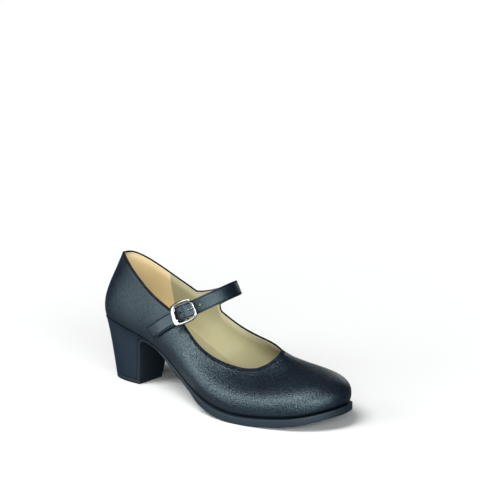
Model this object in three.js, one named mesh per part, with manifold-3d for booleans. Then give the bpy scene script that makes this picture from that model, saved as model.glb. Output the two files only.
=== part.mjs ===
// A right flamenco shoe of the bar-shoe kind: a hollow leather upper with one buckled strap,
// a moulded sole whose flap runs down the breast of a block heel, and a buckle with a centre bar.
// Millimetres, +X towards the toe, +Y towards the inner (medial) side, +Z up.
// The origin is on the floor, under the middle of the heel's top piece.
import * as THREE from "three";
import { mergeVertices } from "three/addons/utils/BufferGeometryUtils.js";
import Module from "manifold-3d";

const wasm = await Module();
wasm.setup();

// Driving dimensions of the shoe
const SHOE_LENGTH = 240;
const BALL_WIDTH = 80;
const HEEL_HEIGHT = 53.9;
const COUNTER_HEIGHT = 58;
const WALL = 1.8;
const GAP = 0.3;

// Sole: a thin waist that thickens between two shares of the length, and its margin round the upper
const FORE_SOLE = 5.5;
const WAIST_SOLE = 3;
const SOLE_MARGIN = 2.2;
const HEEL_MARGIN = 0.5;
const STEP_START = 0.49;
const STEP_END = 0.55;
const MARGIN_START = 0.39;
const MARGIN_END = 0.6;
const FLAT_SPOT = 0.4;

// Heel: the top piece's outline, and the breast, which leans forward over its height
const TOP_PIECE = 3.5;
const TOP_PIECE_LENGTH = 33;
const TOP_PIECE_WIDTH = 28;
const TOP_PIECE_BACK = 14;
const BREAST_LEAN = 9;
const BREAST_FILLET = 7;
const ARCH_DROP = 1.8;
const ARCH_START = 15;
const ARCH_END = 30;
const HEEL_LIP = 0.5;
const HEEL_SQUARENESS = 2.6;
// How soon the heel draws in below the upper, at its back and at its breast: 1 is a straight line
const DRAW_BACK = 0.8;
const DRAW_FRONT = 0.42;

// Insole
const INSOLE = 2.5;

// The ear, where the inner quarter rises to carry the strap: places round the shoe, and its rise
const EAR_FRONT = 0.768;
const EAR_PEAK = 0.779;
const EAR_BACK = 0.818;
const EAR = new THREE.Vector3(5, -1.5, 16.5);

// Strap and buckle
const STRAP_WIDTH = 11.5;
const STRAP = 1.6;
const BUCKLE_STRAP = 1.8;
const LOOP_LEATHER = 1;
const STRAP_SLOPE = 28;
const STRAP_REACH = 40;
const STRAP_HOLE = 1.8;
const HOLE_SPACING = 7.3;
const END_SLANT = 19;
// The buckle's broad bar stands this far past the outer seam's last place
const BUCKLE_AHEAD = 3;
const BUCKLE_LENGTH = 22.5;
const BUCKLE_WIDTH = 18;
const BROAD_BAR = 5;
const BAR = 2.2;
const BAR_THICKNESS = 1.7;
const CENTRE_BAR = 1.6;
const CENTRE_BAR_DROP = 1.1;
const PRONG = 1.2;
// The strap's tip lies this far inside the broad bar's edge, and its pierced hole behind the right bar
const TIP_COVER = 0.6;
const PIERCED_BEHIND = 2.4;
// The short strap closes onto the quarter over this length behind the buckle
// and rises by this much towards the centre bar
const EASE_LENGTH = 10;
const LOOP_RISE = 0.5;
const EDGE_ROUND = 0.35;
const ROUND_SIDES = 16;

// Where the strap's ends are sewn: places round the shoe and up the wall
const OUTER_SEAM = [
  { round: 0.1742, up: 0.288 },
  { round: 0.2078, up: 0.625 },
  { round: 0.24, up: 0.936 },
];
const INNER_SEAM = [
  { round: 0.779, up: 0.85 },
  { round: 0.8, up: 0.74 },
  { round: 0.822, up: 0.6 },
];

// One row for each section round the shoe, from the back over the outer side to the toe and back
// over the inner side. The wall stands on the sole at footAlong, footAcross and ends at the collar
// at topAlong, topAcross. Along is a share of SHOE_LENGTH, across of BALL_WIDTH, and rise, above the
// sole, of COUNTER_HEIGHT. A lean is the wall's slope in degrees, outwards at its foot and inwards
// at its top, and a pull is how far that slope is held, as a share of the way from foot to top.
const COLUMNS = [
  "footAlong", "footAcross", "footLean", "footPull",
  "topAlong", "topAcross", "topLean", "topPull", "rise",
];
const SECTIONS = [
  [0.018, 0.026, 97, 0.37, 0.082, 0.003, 66, 0.35, 0.922],
  [0.058, -0.203, 75, 0.37, 0.121, -0.135, 71, 0.35, 0.974],
  [0.156, -0.301, 68, 0.37, 0.179, -0.239, 77, 0.35, 0.914],
  [0.267, -0.324, 67, 0.36, 0.254, -0.3, 79, 0.35, 0.787],
  [0.383, -0.365, 66, 0.35, 0.334, -0.327, 76, 0.35, 0.71],
  [0.5, -0.442, 64, 0.38, 0.425, -0.327, 69, 0.35, 0.69],
  [0.619, -0.507, 65, 0.38, 0.515, -0.336, 58, 0.4, 0.571],
  [0.742, -0.485, 68, 0.39, 0.611, -0.265, 44, 0.4, 0.513],
  [0.855, -0.391, 70, 0.39, 0.684, -0.174, 34, 0.42, 0.519],
  [0.946, -0.208, 72, 0.4, 0.721, -0.067, 27, 0.45, 0.596],
  [0.981, 0.057, 72, 0.42, 0.731, 0.038, 26, 0.45, 0.678],
  [0.942, 0.289, 72, 0.42, 0.716, 0.134, 29, 0.46, 0.687],
  [0.857, 0.428, 70, 0.41, 0.688, 0.23, 39, 0.43, 0.668],
  [0.744, 0.477, 68, 0.39, 0.633, 0.316, 50, 0.41, 0.671],
  [0.626, 0.401, 65, 0.39, 0.554, 0.356, 64, 0.41, 0.638],
  [0.513, 0.3, 62, 0.38, 0.46, 0.337, 78, 0.35, 0.614],
  [0.4, 0.256, 62, 0.35, 0.356, 0.312, 81, 0.35, 0.629],
  [0.286, 0.278, 67, 0.35, 0.251, 0.281, 82, 0.35, 0.691],
  [0.162, 0.309, 72, 0.36, 0.154, 0.236, 80, 0.35, 0.805],
  [0.056, 0.242, 79, 0.36, 0.086, 0.146, 74, 0.35, 0.892],
];

// Height of the sole's upper face at even steps from the heel to the toe, above FORE_SOLE, as a
// share of the heel's lift.
const SEAT_LINE = [1, 0.9349, 0.8464, 0.719, 0.5003, 0.2374, 0.06465, 0.004823, 0.03296, 0.09995, 0.2417];

const RELAXATIONS = 60;
const DEGREE = Math.PI / 180;

// A smooth curve through evenly spaced values: the control values of a uniform cubic B-spline are
// found by relaxation. A closed curve runs from 0 to 1 and back to its start.
function smooth(values, closed) {
  const count = values.length;
  const spans = closed ? count : count - 1;
  const pick = (list, i) => {
    if (closed) return list[(i + count) % count];
    if (i < 0) return 2 * list[0] - list[1];
    return i < count ? list[i] : 2 * list[count - 1] - list[count - 2];
  };
  let control = values;
  for (let pass = 0; pass < RELAXATIONS; pass += 1) {
    const last = control;
    control = values.map((value, i) => (6 * value - pick(last, i - 1) - pick(last, i + 1)) / 4);
  }
  return (share) => {
    const place = (closed ? share - Math.floor(share) : Math.min(Math.max(share, 0), 1)) * spans;
    const i = Math.min(Math.floor(place), spans - 1);
    const t = place - i;
    const s = 1 - t;
    return (
      (s ** 3 * pick(control, i - 1) +
        (3 * t ** 3 - 6 * t ** 2 + 4) * pick(control, i) +
        (3 * s ** 3 - 6 * s ** 2 + 4) * pick(control, i + 1) +
        t ** 3 * pick(control, i + 2)) /
      6
    );
  };
}

const seatLine = smooth(SEAT_LINE, false);
const section = Object.fromEntries(
  COLUMNS.map((column, i) => [column, smooth(SECTIONS.map((row) => row[i]), true)]),
);

// Height of the sole's upper face.
function seat(x) {
  return FORE_SOLE + (HEEL_HEIGHT - FORE_SOLE) * seatLine(x / SHOE_LENGTH);
}

// Plan of the wall's foot, and its collar edge in space.
function foot(u) {
  return new THREE.Vector2(section.footAlong(u) * SHOE_LENGTH, section.footAcross(u) * BALL_WIDTH);
}
function topline(u) {
  const x = section.topAlong(u) * SHOE_LENGTH;
  return new THREE.Vector3(x, section.topAcross(u) * BALL_WIDTH, seat(x) + section.rise(u) * COUNTER_HEIGHT);
}

// Unit vector in plan that points out of a closed plan curve.
const STEP = 1e-3;
function outwards(curve, u) {
  const a = curve(u - STEP);
  const b = curve(u + STEP);
  return new THREE.Vector2(b.y - a.y, a.x - b.x).normalize();
}

// Share of the ear's rise round the shoe.
function earRise(u) {
  const front = THREE.MathUtils.clamp((u - EAR_FRONT) / (EAR_PEAK - EAR_FRONT), 0, 1);
  const back = THREE.MathUtils.clamp((EAR_BACK - u) / (EAR_BACK - EAR_PEAK), 0, 1);
  return front ** 2 * back ** 1.25;
}

// A point of the upper's outer face: u runs round the shoe, t from the sole to the collar. At the
// ear the last part of the way is the ear.
function wallPoint(u, t) {
  const base = foot(u);
  const start = new THREE.Vector3(base.x, base.y, seat(base.x) + GAP);
  const end = topline(u);
  const reach = start.distanceTo(end);
  const ear = (earRise(u) * EAR.length()) / reach;
  const h = Math.min(t * (1 + ear), 1);
  const rise = t * (1 + ear) - h;
  const footOut = outwards(foot, u);
  const topOut = outwards(topline, u);
  const leg = (out, lean, pull, from) =>
    new THREE.Vector3(out.x * Math.cos(lean), out.y * Math.cos(lean), Math.sin(lean))
      .multiplyScalar(pull * reach)
      .add(from);
  const first = leg(footOut, section.footLean(u) * DEGREE, section.footPull(u), start);
  const second = leg(topOut, -section.topLean(u) * DEGREE, section.topPull(u), end);
  const point = new THREE.CubicBezierCurve3(start, first, second, end).getPoint(h);
  return point.addScaledVector(EAR, (rise * reach) / EAR.length());
}

function wallNormal(u, h) {
  const low = Math.min(Math.max(h - STEP, 0), 1 - 2 * STEP);
  const along = wallPoint(u + STEP, h).sub(wallPoint(u - STEP, h));
  const up = wallPoint(u, low + 2 * STEP).sub(wallPoint(u, low));
  return along.cross(up).normalize();
}

// A closed mesh from a grid of points that wraps in both directions.
function ringGrid(rings) {
  const across = rings[0].length;
  const positions = rings.flat().flatMap((p) => p.toArray());
  const index = [];
  rings.forEach((ring, i) => {
    const next = (i + 1) % rings.length;
    for (let j = 0; j < across; j += 1) {
      const k = (j + 1) % across;
      const [a, b, c, d] = [i * across + j, next * across + j, next * across + k, i * across + k];
      index.push(a, b, c, a, c, d);
    }
  });
  return facing(positions, index);
}

// A solid's geometry with its faces turned outwards.
function facing(positions, index) {
  const at = (i) => new THREE.Vector3(...positions.slice(3 * i, 3 * i + 3));
  let volume = 0;
  for (let i = 0; i < index.length; i += 3) {
    volume += at(index[i]).dot(at(index[i + 1]).cross(at(index[i + 2])));
  }
  if (volume < 0) index.reverse();
  return new THREE.BufferGeometry()
    .setAttribute("position", new THREE.Float32BufferAttribute(positions, 3))
    .setIndex(index);
}

// Places round the shoe, closer together at the ear's front.
const ROUND_STEPS = 92;
const EAR_STEPS = 6;
const WALL_STEPS = 10;
function places() {
  const list = [];
  for (let i = 0; i < ROUND_STEPS; i += 1) list.push(i / ROUND_STEPS);
  for (let i = 0; i <= EAR_STEPS; i += 1) {
    list.push(THREE.MathUtils.lerp(EAR_FRONT, EAR_PEAK, i / EAR_STEPS));
  }
  list.sort((a, b) => a - b);
  return list.filter((u, i) => i === 0 || u - list[i - 1] > 4e-4);
}

function upper() {
  const rings = places().map((u) => {
    const outer = [];
    const inner = [];
    for (let j = 0; j <= WALL_STEPS; j += 1) {
      const t = j / WALL_STEPS;
      const point = wallPoint(u, t);
      outer.push(point);
      inner.unshift(point.clone().addScaledVector(wallNormal(u, t), -WALL));
    }
    return [...outer, ...inner];
  });
  return ringGrid(rings);
}

// A tube through rings of points, closed at both ends.
function tube(rings) {
  const around = rings[0].length;
  const positions = rings.flat().flatMap((p) => p.toArray());
  const index = [];
  for (let i = 0; i + 1 < rings.length; i += 1) {
    for (let j = 0; j < around; j += 1) {
      const k = (j + 1) % around;
      const [a, b, c, d] = [i * around + j, (i + 1) * around + j, (i + 1) * around + k, i * around + k];
      index.push(a, b, c, a, c, d);
    }
  }
  [rings[0], rings.at(-1)].forEach((ring, end) => {
    const middle = new THREE.Vector3();
    ring.forEach((p) => middle.add(p));
    middle.divideScalar(around);
    const centre = positions.length / 3;
    positions.push(...middle.toArray());
    const first = end ? (rings.length - 1) * around : 0;
    for (let j = 0; j < around; j += 1) {
      const k = (j + 1) % around;
      if (end) index.push(centre, first + k, first + j);
      else index.push(centre, first + j, first + k);
    }
  });
  return facing(positions, index);
}

// Solids for joining and cutting.
function solid(geometry) {
  const merged = mergeVertices(geometry, 1e-5);
  return new wasm.Manifold(
    new wasm.Mesh({
      numProp: 3,
      vertProperties: new Float32Array(merged.attributes.position.array),
      triVerts: new Uint32Array(merged.index.array),
    }),
  );
}
function shape(manifold) {
  const mesh = manifold.getMesh();
  return new THREE.BufferGeometry()
    .setAttribute("position", new THREE.Float32BufferAttribute(mesh.vertProperties, 3))
    .setIndex(Array.from(mesh.triVerts));
}

// A side profile, points of x and z, as a slab across the whole shoe.
function slab(profile) {
  const half = BALL_WIDTH;
  const outline = new THREE.Shape(profile.map(([x, z]) => new THREE.Vector2(x, z)));
  const geometry = new THREE.ExtrudeGeometry(outline, { depth: 2 * half, bevelEnabled: false });
  geometry.rotateX(Math.PI / 2).translate(0, half, 0);
  geometry.deleteAttribute("normal");
  geometry.deleteAttribute("uv");
  return solid(geometry);
}

// Outline of the heel's foot for a place on the shoe's outline above it.
const FRONT = TOP_PIECE_BACK + TOP_PIECE_LENGTH;
function heelFoot(plan) {
  const behind = Math.max(FRONT - plan.x, 0) / (FRONT - foot(0).x);
  const x = plan.x + (TOP_PIECE_BACK - foot(0).x) * Math.min(behind, 1) ** 1.5;
  const back = THREE.MathUtils.clamp((FRONT - x) / TOP_PIECE_LENGTH, 0, 1);
  const y = 0.5 * TOP_PIECE_WIDTH * (1 - back ** HEEL_SQUARENESS) ** (1 / HEEL_SQUARENESS);
  return new THREE.Vector2(x, Math.sign(plan.y) * y);
}

// The body that bounds sole and heel at their sides: straight down under the waist and forefoot,
// drawn in towards the top piece under the heel.
const TRUNK_STEPS = 108;
const TRUNK_ROWS = 8;
const WAIST_START = 0.26;
const WAIST_END = 0.4;
function trunk() {
  const columns = [];
  for (let i = 0; i < TRUNK_STEPS; i += 1) {
    const u = i / TRUNK_STEPS;
    const share = foot(u).x / SHOE_LENGTH;
    const margin = THREE.MathUtils.lerp(
      HEEL_MARGIN,
      SOLE_MARGIN,
      THREE.MathUtils.smoothstep(share, MARGIN_START, MARGIN_END),
    );
    const plan = foot(u).addScaledVector(outwards(foot, u), margin);
    const drawn = 1 - THREE.MathUtils.smoothstep(share, WAIST_START, WAIST_END);
    const low = plan.clone().lerp(heelFoot(plan), drawn);
    const top = seat(plan.x);
    const power = THREE.MathUtils.lerp(DRAW_BACK, DRAW_FRONT, THREE.MathUtils.smoothstep(plan.x, 0, FRONT));
    const column = [new THREE.Vector3(plan.x, plan.y, top + 2)];
    for (let j = 0; j <= TRUNK_ROWS; j += 1) {
      const depth = j / TRUNK_ROWS;
      const point = plan.clone().lerp(low, depth ** power);
      column.push(new THREE.Vector3(point.x, point.y, THREE.MathUtils.lerp(top, -1, depth)));
    }
    columns.push(column);
  }
  const rows = columns[0].map((_, j) => columns.map((column) => column[j]));
  return solid(tube(rows));
}

// Side profiles. The breast's line stands on the floor in front of the top piece and leans forward.
const PROFILE_STEPS = 56;
const TURN_STEPS = 8;
const TOUCH_PASSES = 30;
function breast(z, behind) {
  return FRONT - behind + (BREAST_LEAN * z) / HEEL_HEIGHT;
}

// The top of the sole: it lies lower where it turns down, and meets the seat a little further on.
function soleTop(x) {
  return seat(x) - ARCH_DROP * (1 - THREE.MathUtils.smoothstep(x, FRONT + ARCH_START, FRONT + ARCH_END));
}
function soleUnder(x) {
  const share = THREE.MathUtils.smoothstep(x / SHOE_LENGTH, STEP_START, STEP_END);
  const height = soleTop(x) - THREE.MathUtils.lerp(WAIST_SOLE, FORE_SOLE, share);
  return height < FLAT_SPOT ? 0 : height - FLAT_SPOT * (1 - Math.min(height / 6, 1));
}

// The sole's flap turns from the waist into the breast on an arc that touches both lines.
function turn(behind, below, radius) {
  const down = new THREE.Vector2(-BREAST_LEAN, -HEEL_HEIGHT).normalize();
  const lean = BREAST_LEAN / HEEL_HEIGHT;
  const corner = new THREE.Vector2();
  const waist = new THREE.Vector2();
  let touch = FRONT + BREAST_LEAN + 2 * radius;
  let half = 0;
  let reach = 0;
  for (let pass = 0; pass < TOUCH_PASSES; pass += 1) {
    const slope = soleTop(touch + 0.5) - soleTop(touch - 0.5);
    const start = soleTop(touch) - below - slope * touch;
    corner.x = (FRONT - behind + lean * start) / (1 - lean * slope);
    corner.y = start + slope * corner.x;
    waist.set(1, slope).normalize();
    half = waist.angleTo(down) / 2;
    reach = radius / Math.tan(half);
    touch = corner.x + waist.x * reach;
  }
  const inwards = waist.clone().add(down).normalize();
  const middle = corner.clone().addScaledVector(inwards, radius / Math.sin(half));
  const from = corner.clone().addScaledVector(waist, reach).sub(middle).angle();
  const to = corner.clone().addScaledVector(down, reach).sub(middle).angle();
  const sweep = ((to - from + 3 * Math.PI) % (2 * Math.PI)) - Math.PI;
  const points = [];
  for (let i = 0; i <= TURN_STEPS; i += 1) {
    const angle = from + (sweep * i) / TURN_STEPS;
    points.push([middle.x + radius * Math.cos(angle), middle.y + radius * Math.sin(angle)]);
  }
  return points;
}

// Even stations along the length from one x to another.
function stations(from, to) {
  const list = [];
  for (let i = 0; i <= PROFILE_STEPS; i += 1) list.push(THREE.MathUtils.lerp(from, to, i / PROFILE_STEPS));
  return list;
}

function soleProfile() {
  const under = turn(0, WAIST_SOLE, BREAST_FILLET);
  const over = turn(WAIST_SOLE, 0, BREAST_FILLET + WAIST_SOLE);
  const floor = TOP_PIECE + GAP;
  const end = SHOE_LENGTH + 5;
  const bottom = stations(under[0][0] + 0.5, end).map((x) => [x, soleUnder(x)]);
  const top = stations(end, over[0][0] + 0.5).map((x) => [x, soleTop(x)]);
  return [
    [breast(floor, WAIST_SOLE), floor],
    [breast(floor, 0), floor],
    ...[...under].reverse(),
    ...bottom,
    ...top,
    ...over,
  ];
}

function heelProfile() {
  const over = turn(WAIST_SOLE + GAP, -GAP, BREAST_FILLET + WAIST_SOLE + GAP);
  const floor = TOP_PIECE + GAP;
  const ahead = [];
  for (let x = FRONT + ARCH_END; x > over[0][0] + 0.5; x -= 1) ahead.push([x, soleTop(x) + GAP]);
  const lip = [...ahead, ...over].filter(([x, z]) => seat(x) - z > HEEL_LIP);
  const top = stations(-5, lip[0][0]).map((x) => [x, seat(x)]);
  return [[-5, floor], [breast(floor, WAIST_SOLE + GAP), floor], ...[...lip].reverse(), ...top.reverse()];
}

function topPieceProfile() {
  return [
    [-5, 0],
    [breast(0, 0), 0],
    [breast(TOP_PIECE, 0), TOP_PIECE],
    [-5, TOP_PIECE],
  ];
}

// A thin insole between the walls.
function insole() {
  const steps = 96;
  const ring = [];
  for (let i = 0; i < steps; i += 1) {
    const u = i / steps;
    const plan = foot(u).addScaledVector(outwards(foot, u), -(WALL + 2 * GAP));
    ring.push(new THREE.Vector3(plan.x, plan.y, 0));
  }
  const rise = (x) => seat(x) + GAP;
  const low = stations(-5, SHOE_LENGTH + 5);
  const heights = [-1, HEEL_HEIGHT + 9];
  const flat = solid(tube(heights.map((z) => ring.map((p) => p.clone().setZ(z)))));
  const profile = [...low.map((x) => [x, rise(x)]), ...[...low].reverse().map((x) => [x, rise(x) + INSOLE])];
  return shape(flat.intersect(slab(profile)));
}

// The strap's middle line, from its outer seam through the buckle, over the instep to its inner seam.
// It stands off the wall by a level: high at the buckle, close at the inner seam. Between the seams
// it is half an ellipse in a plane that rises forward. Width is the direction across the strap.
const OUTER_LEVEL = GAP + BUCKLE_STRAP + 3 * GAP + STRAP / 2 + 0.3;
const INNER_LEVEL = 2 * GAP + STRAP / 2;
const ARCH_STEPS = 7;
function offWall(place, level) {
  return wallPoint(place.round, place.up).addScaledVector(wallNormal(place.round, place.up), level);
}
function strapLine() {
  const slope = STRAP_SLOPE * DEGREE;
  const forward = new THREE.Vector3(Math.cos(slope), 0, Math.sin(slope));
  const across = new THREE.Vector3(-Math.sin(slope), 0, Math.cos(slope));
  const flat = (place) => {
    const normal = wallNormal(place.round, place.up);
    return across.clone().addScaledVector(normal, -across.dot(normal)).normalize();
  };
  const outer = OUTER_SEAM.map((place) => ({ point: offWall(place, OUTER_LEVEL), width: flat(place) }));
  const inner = INNER_SEAM.map((place) => ({ point: offWall(place, INNER_LEVEL), width: flat(place) }));
  const from = outer.at(-1).point;
  const to = inner[0].point;
  const arch = [];
  for (let i = 1; i < ARCH_STEPS; i += 1) {
    const turned = (Math.PI * i) / ARCH_STEPS;
    const point = from.clone().lerp(to, 0.5 - 0.5 * Math.cos(turned));
    arch.push({ point: point.addScaledVector(forward, STRAP_REACH * Math.sin(turned)), width: across });
  }
  const all = [...outer, ...arch, ...inner];
  const axis = (key, name) => smooth(all.map((item) => item[key][name]), false);
  const [x, y, z] = ["x", "y", "z"].map((name) => axis("point", name));
  const [wx, wy, wz] = ["x", "y", "z"].map((name) => axis("width", name));
  const count = 600;
  const lengths = [0];
  const at = (share) => new THREE.Vector3(x(share), y(share), z(share));
  for (let i = 1; i <= count; i += 1) {
    lengths.push(lengths[i - 1] + at(i / count).distanceTo(at((i - 1) / count)));
  }
  const shareAt = (length) => {
    const i = THREE.MathUtils.clamp(lengths.findIndex((value) => value >= length), 1, count);
    return (i - 1 + (length - lengths[i - 1]) / (lengths[i] - lengths[i - 1])) / count;
  };
  const lengthAt = (share) => lengths[Math.round(share * count)];
  // Frame at a length along the line: middle, along, width and outward directions.
  const frame = (length) => {
    const share = shareAt(length);
    const along = at(Math.min(share + 2e-3, 1)).sub(at(Math.max(share - 2e-3, 0))).normalize();
    const width = new THREE.Vector3(wx(share), wy(share), wz(share));
    width.addScaledVector(along, -width.dot(along)).normalize();
    return { middle: at(share), along, width, out: along.clone().cross(width).normalize() };
  };
  const spans = all.length - 1;
  return { frame, total: lengths[count], buckle: lengthAt((outer.length - 1) / spans) };
}

const line = strapLine();
const LEFT_BAR = line.buckle + BUCKLE_AHEAD;
const MIDDLE_BAR = LEFT_BAR + 0.5 * (BUCKLE_LENGTH - BROAD_BAR / 2 - BAR / 2);
const RIGHT_BAR = LEFT_BAR + BUCKLE_LENGTH - BROAD_BAR / 2 - BAR / 2;
const FRAME_LEVEL = STRAP / 2 + 1.6 * GAP + BAR_THICKNESS / 2;

// A point by length along the strap's line, width and level off the line.
function strapPoint(length, width, level) {
  const { middle, width: across, out } = line.frame(Math.min(Math.max(length, 0), line.total));
  return middle.addScaledVector(across, width).addScaledVector(out, level);
}

// A flat band: level gives its middle along the line, slant the shift of each end with width.
function band(from, to, steps, thickness, level, slantFrom, slantTo) {
  const half = STRAP_WIDTH / 2;
  const edge = EDGE_ROUND;
  const section = [
    [-half, -thickness / 2 + edge],
    [-half + edge, -thickness / 2],
    [0, -thickness / 2],
    [half - edge, -thickness / 2],
    [half, -thickness / 2 + edge],
    [half, thickness / 2 - edge],
    [half - edge, thickness / 2],
    [0, thickness / 2],
    [-half + edge, thickness / 2],
    [-half, thickness / 2 - edge],
  ];
  const rings = [];
  for (let i = 0; i <= steps; i += 1) {
    const share = i / steps;
    const length = THREE.MathUtils.lerp(from, to, share);
    const slant = Math.tan(THREE.MathUtils.lerp(slantFrom, slantTo, Math.min(1, share)) * DEGREE);
    rings.push(section.map(([w, n]) => strapPoint(length - w * slant, w, level(length) + n)));
  }
  return tube(rings);
}

// Level of the strap at the buckle: over the centre bar and its leather loop, under the other bars.
const LOOP_OUTER = CENTRE_BAR / 2 + GAP + LOOP_LEATHER;
const BUMP = FRAME_LEVEL - CENTRE_BAR_DROP + LOOP_OUTER + GAP + STRAP / 2;
function strapLevel(length) {
  const { smoothstep } = THREE.MathUtils;
  const rise = smoothstep(length, LEFT_BAR + 1, MIDDLE_BAR - 0.5);
  const fall = 1 - smoothstep(length, MIDDLE_BAR + 1.5, RIGHT_BAR - 0.5);
  return BUMP * rise * fall;
}

// A round rod through points.
function rod(points, radius, around = 8) {
  const last = points.length - 1;
  const rings = points.map((point, i) => {
    const along = points[Math.min(i + 1, last)].clone().sub(points[Math.max(i - 1, 0)]).normalize();
    const side = new THREE.Vector3(0.31, 0.12, 0.94).cross(along).normalize();
    const up = along.clone().cross(side);
    return Array.from({ length: around }, (_, k) => {
      const angle = (2 * Math.PI * k) / around;
      const [c, s] = [radius * Math.cos(angle), radius * Math.sin(angle)];
      return point.clone().addScaledVector(side, c).addScaledVector(up, s);
    });
  });
  return tube(rings);
}

// The prong's middle line, from over the centre bar through the strap to over the right bar.
function prongLine(radius) {
  const over = FRAME_LEVEL + BAR_THICKNESS / 2 + GAP + PRONG / 2;
  const start = FRAME_LEVEL - CENTRE_BAR_DROP + CENTRE_BAR / 2 + GAP + 0.5;
  const rows = [
    [MIDDLE_BAR, start],
    [MIDDLE_BAR + 3, start + 0.1],
    [RIGHT_BAR - 4, start + 0.15],
    [RIGHT_BAR - 1.5, over - 0.35],
    [RIGHT_BAR, over],
    [RIGHT_BAR + 1.5, over - 0.1],
  ];
  return rod(rows.map(([length, level]) => strapPoint(length, 0, level)), radius);
}

function instepStrap() {
  let strap = solid(
    band(LEFT_BAR - BROAD_BAR / 2 + TIP_COVER, line.total, 50, STRAP, strapLevel, 0, 0),
  ).subtract(solid(prongLine(PRONG / 2 + GAP)));
  const pierced = RIGHT_BAR - PIERCED_BEHIND;
  for (const length of [pierced - HOLE_SPACING, pierced + HOLE_SPACING]) {
    const level = strapLevel(length);
    const ends = [-STRAP, STRAP].map((off) => strapPoint(length, 0, level + off));
    const hole = rod(ends, STRAP_HOLE / 2, ROUND_SIDES);
    strap = strap.subtract(solid(hole));
  }
  return shape(strap);
}

// The short strap, sewn on the quarter, with a loop of thinner leather round the centre bar.
function buckleStrap() {
  const below = -(STRAP / 2 + GAP + BUCKLE_STRAP / 2);
  const seam = LEFT_BAR - EASE_LENGTH;
  const { smoothstep } = THREE.MathUtils;
  const level = (length) => {
    const close = GAP * (1 - smoothstep(length, seam, LEFT_BAR));
    return below - close + LOOP_RISE * smoothstep(length, LEFT_BAR + 2, MIDDLE_BAR - 1);
  };
  const start = 0.5 * STRAP_WIDTH * Math.tan(END_SLANT * DEGREE);
  const flat = solid(band(start, MIDDLE_BAR + GAP, 18, BUCKLE_STRAP, level, END_SLANT, 0));
  const centre = FRAME_LEVEL - CENTRE_BAR_DROP;
  const ring = (radius) => {
    const half = STRAP_WIDTH / 2 + (radius < LOOP_OUTER ? 1 : 0);
    const circle = (w) =>
      Array.from({ length: ROUND_SIDES }, (_, k) => {
        const angle = (2 * Math.PI * k) / ROUND_SIDES;
        return strapPoint(MIDDLE_BAR + radius * Math.cos(angle), w, centre + radius * Math.sin(angle));
      });
    return solid(tube([circle(-half), circle(half)]));
  };
  const inner = CENTRE_BAR / 2 + GAP;
  const slotHalf = PRONG / 2 + 2 * GAP;
  const slotRing = [-slotHalf, slotHalf].map((w) =>
    [
      [MIDDLE_BAR - 3.2, centre - 3.4],
      [MIDDLE_BAR + 4, centre - 3.4],
      [MIDDLE_BAR + 4, centre + 3.4],
      [MIDDLE_BAR - 3.2, centre + 3.4],
    ].map(([length, level]) => strapPoint(length, w, level)),
  );
  return shape(flat.add(ring(LOOP_OUTER)).subtract(ring(inner)).subtract(solid(tube(slotRing))));
}

// The buckle's frame: a rounded oblong loop, one bar broad, with a centre bar a little lower.
const FRAME_STEPS = 44;
function buckleFrame() {
  const halfWidth = BUCKLE_WIDTH / 2 - BAR / 2;
  const middle = (LEFT_BAR + RIGHT_BAR) / 2;
  const halfLength = (RIGHT_BAR - LEFT_BAR) / 2;
  const squareness = 2 / 4.5;
  const rings = [];
  for (let i = 0; i < FRAME_STEPS; i += 1) {
    const angle = (2 * Math.PI * i) / FRAME_STEPS;
    const bend = (value) => Math.sign(value) * Math.abs(value) ** squareness;
    const along = middle + halfLength * bend(Math.cos(angle));
    const across = halfWidth * bend(Math.sin(angle));
    const broad = THREE.MathUtils.smoothstep(-Math.cos(angle), 0.45, 0.8);
    const reach = THREE.MathUtils.lerp(BAR, BROAD_BAR, broad) / 2;
    const outward = new THREE.Vector2(
      bend(Math.cos(angle)) ** 3 / halfLength,
      bend(Math.sin(angle)) ** 3 / halfWidth,
    ).normalize();
    const ring = [];
    for (let k = 0; k < 8; k += 1) {
      const around = (2 * Math.PI * k) / 8;
      const side = reach * Math.sign(Math.cos(around)) * Math.abs(Math.cos(around)) ** 0.7;
      const level = (BAR_THICKNESS / 2) * Math.sin(around);
      ring.push(strapPoint(along + outward.x * side, across + outward.y * side, FRAME_LEVEL + level));
    }
    rings.push(ring);
  }
  const bar = [-1, -0.5, 0, 0.5, 1].map((share) =>
    strapPoint(MIDDLE_BAR, share * halfWidth, FRAME_LEVEL - CENTRE_BAR_DROP),
  );
  return shape(solid(ringGrid(rings)).add(solid(rod(bar, CENTRE_BAR / 2))));
}

function buckleProng() {
  const centre = FRAME_LEVEL - CENTRE_BAR_DROP;
  const inner = CENTRE_BAR / 2 + GAP;
  const collar = (radius, half) => {
    const circle = (w) =>
      Array.from({ length: ROUND_SIDES }, (_, k) => {
        const angle = (2 * Math.PI * k) / ROUND_SIDES;
        return strapPoint(MIDDLE_BAR + radius * Math.cos(angle), w, centre + radius * Math.sin(angle));
      });
    return solid(tube([circle(-half), circle(half)]));
  };
  const body = solid(prongLine(PRONG / 2)).add(collar(inner + 0.7, PRONG / 2));
  return shape(body.subtract(collar(inner, PRONG)));
}

const group = new THREE.Group();
const leather = new THREE.MeshStandardMaterial({ color: 0x1b2228, roughness: 0.45 });
const soleMaterial = new THREE.MeshStandardMaterial({ color: 0x2a343b, roughness: 0.6 });
const sock = new THREE.MeshStandardMaterial({ color: 0xb9a878, roughness: 0.8 });
const rubber = new THREE.MeshStandardMaterial({ color: 0x14181b, roughness: 0.8 });
const steel = new THREE.MeshStandardMaterial({ color: 0xc9ccce, roughness: 0.25, metalness: 1 });

// Each piece is moved so that the origin is under the middle of the top piece.
function add(name, geometry, material) {
  geometry.translate(-(TOP_PIECE_BACK + TOP_PIECE_LENGTH / 2), 0, 0);
  const mesh = new THREE.Mesh(geometry, material);
  mesh.name = name;
  group.add(mesh);
}

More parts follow.
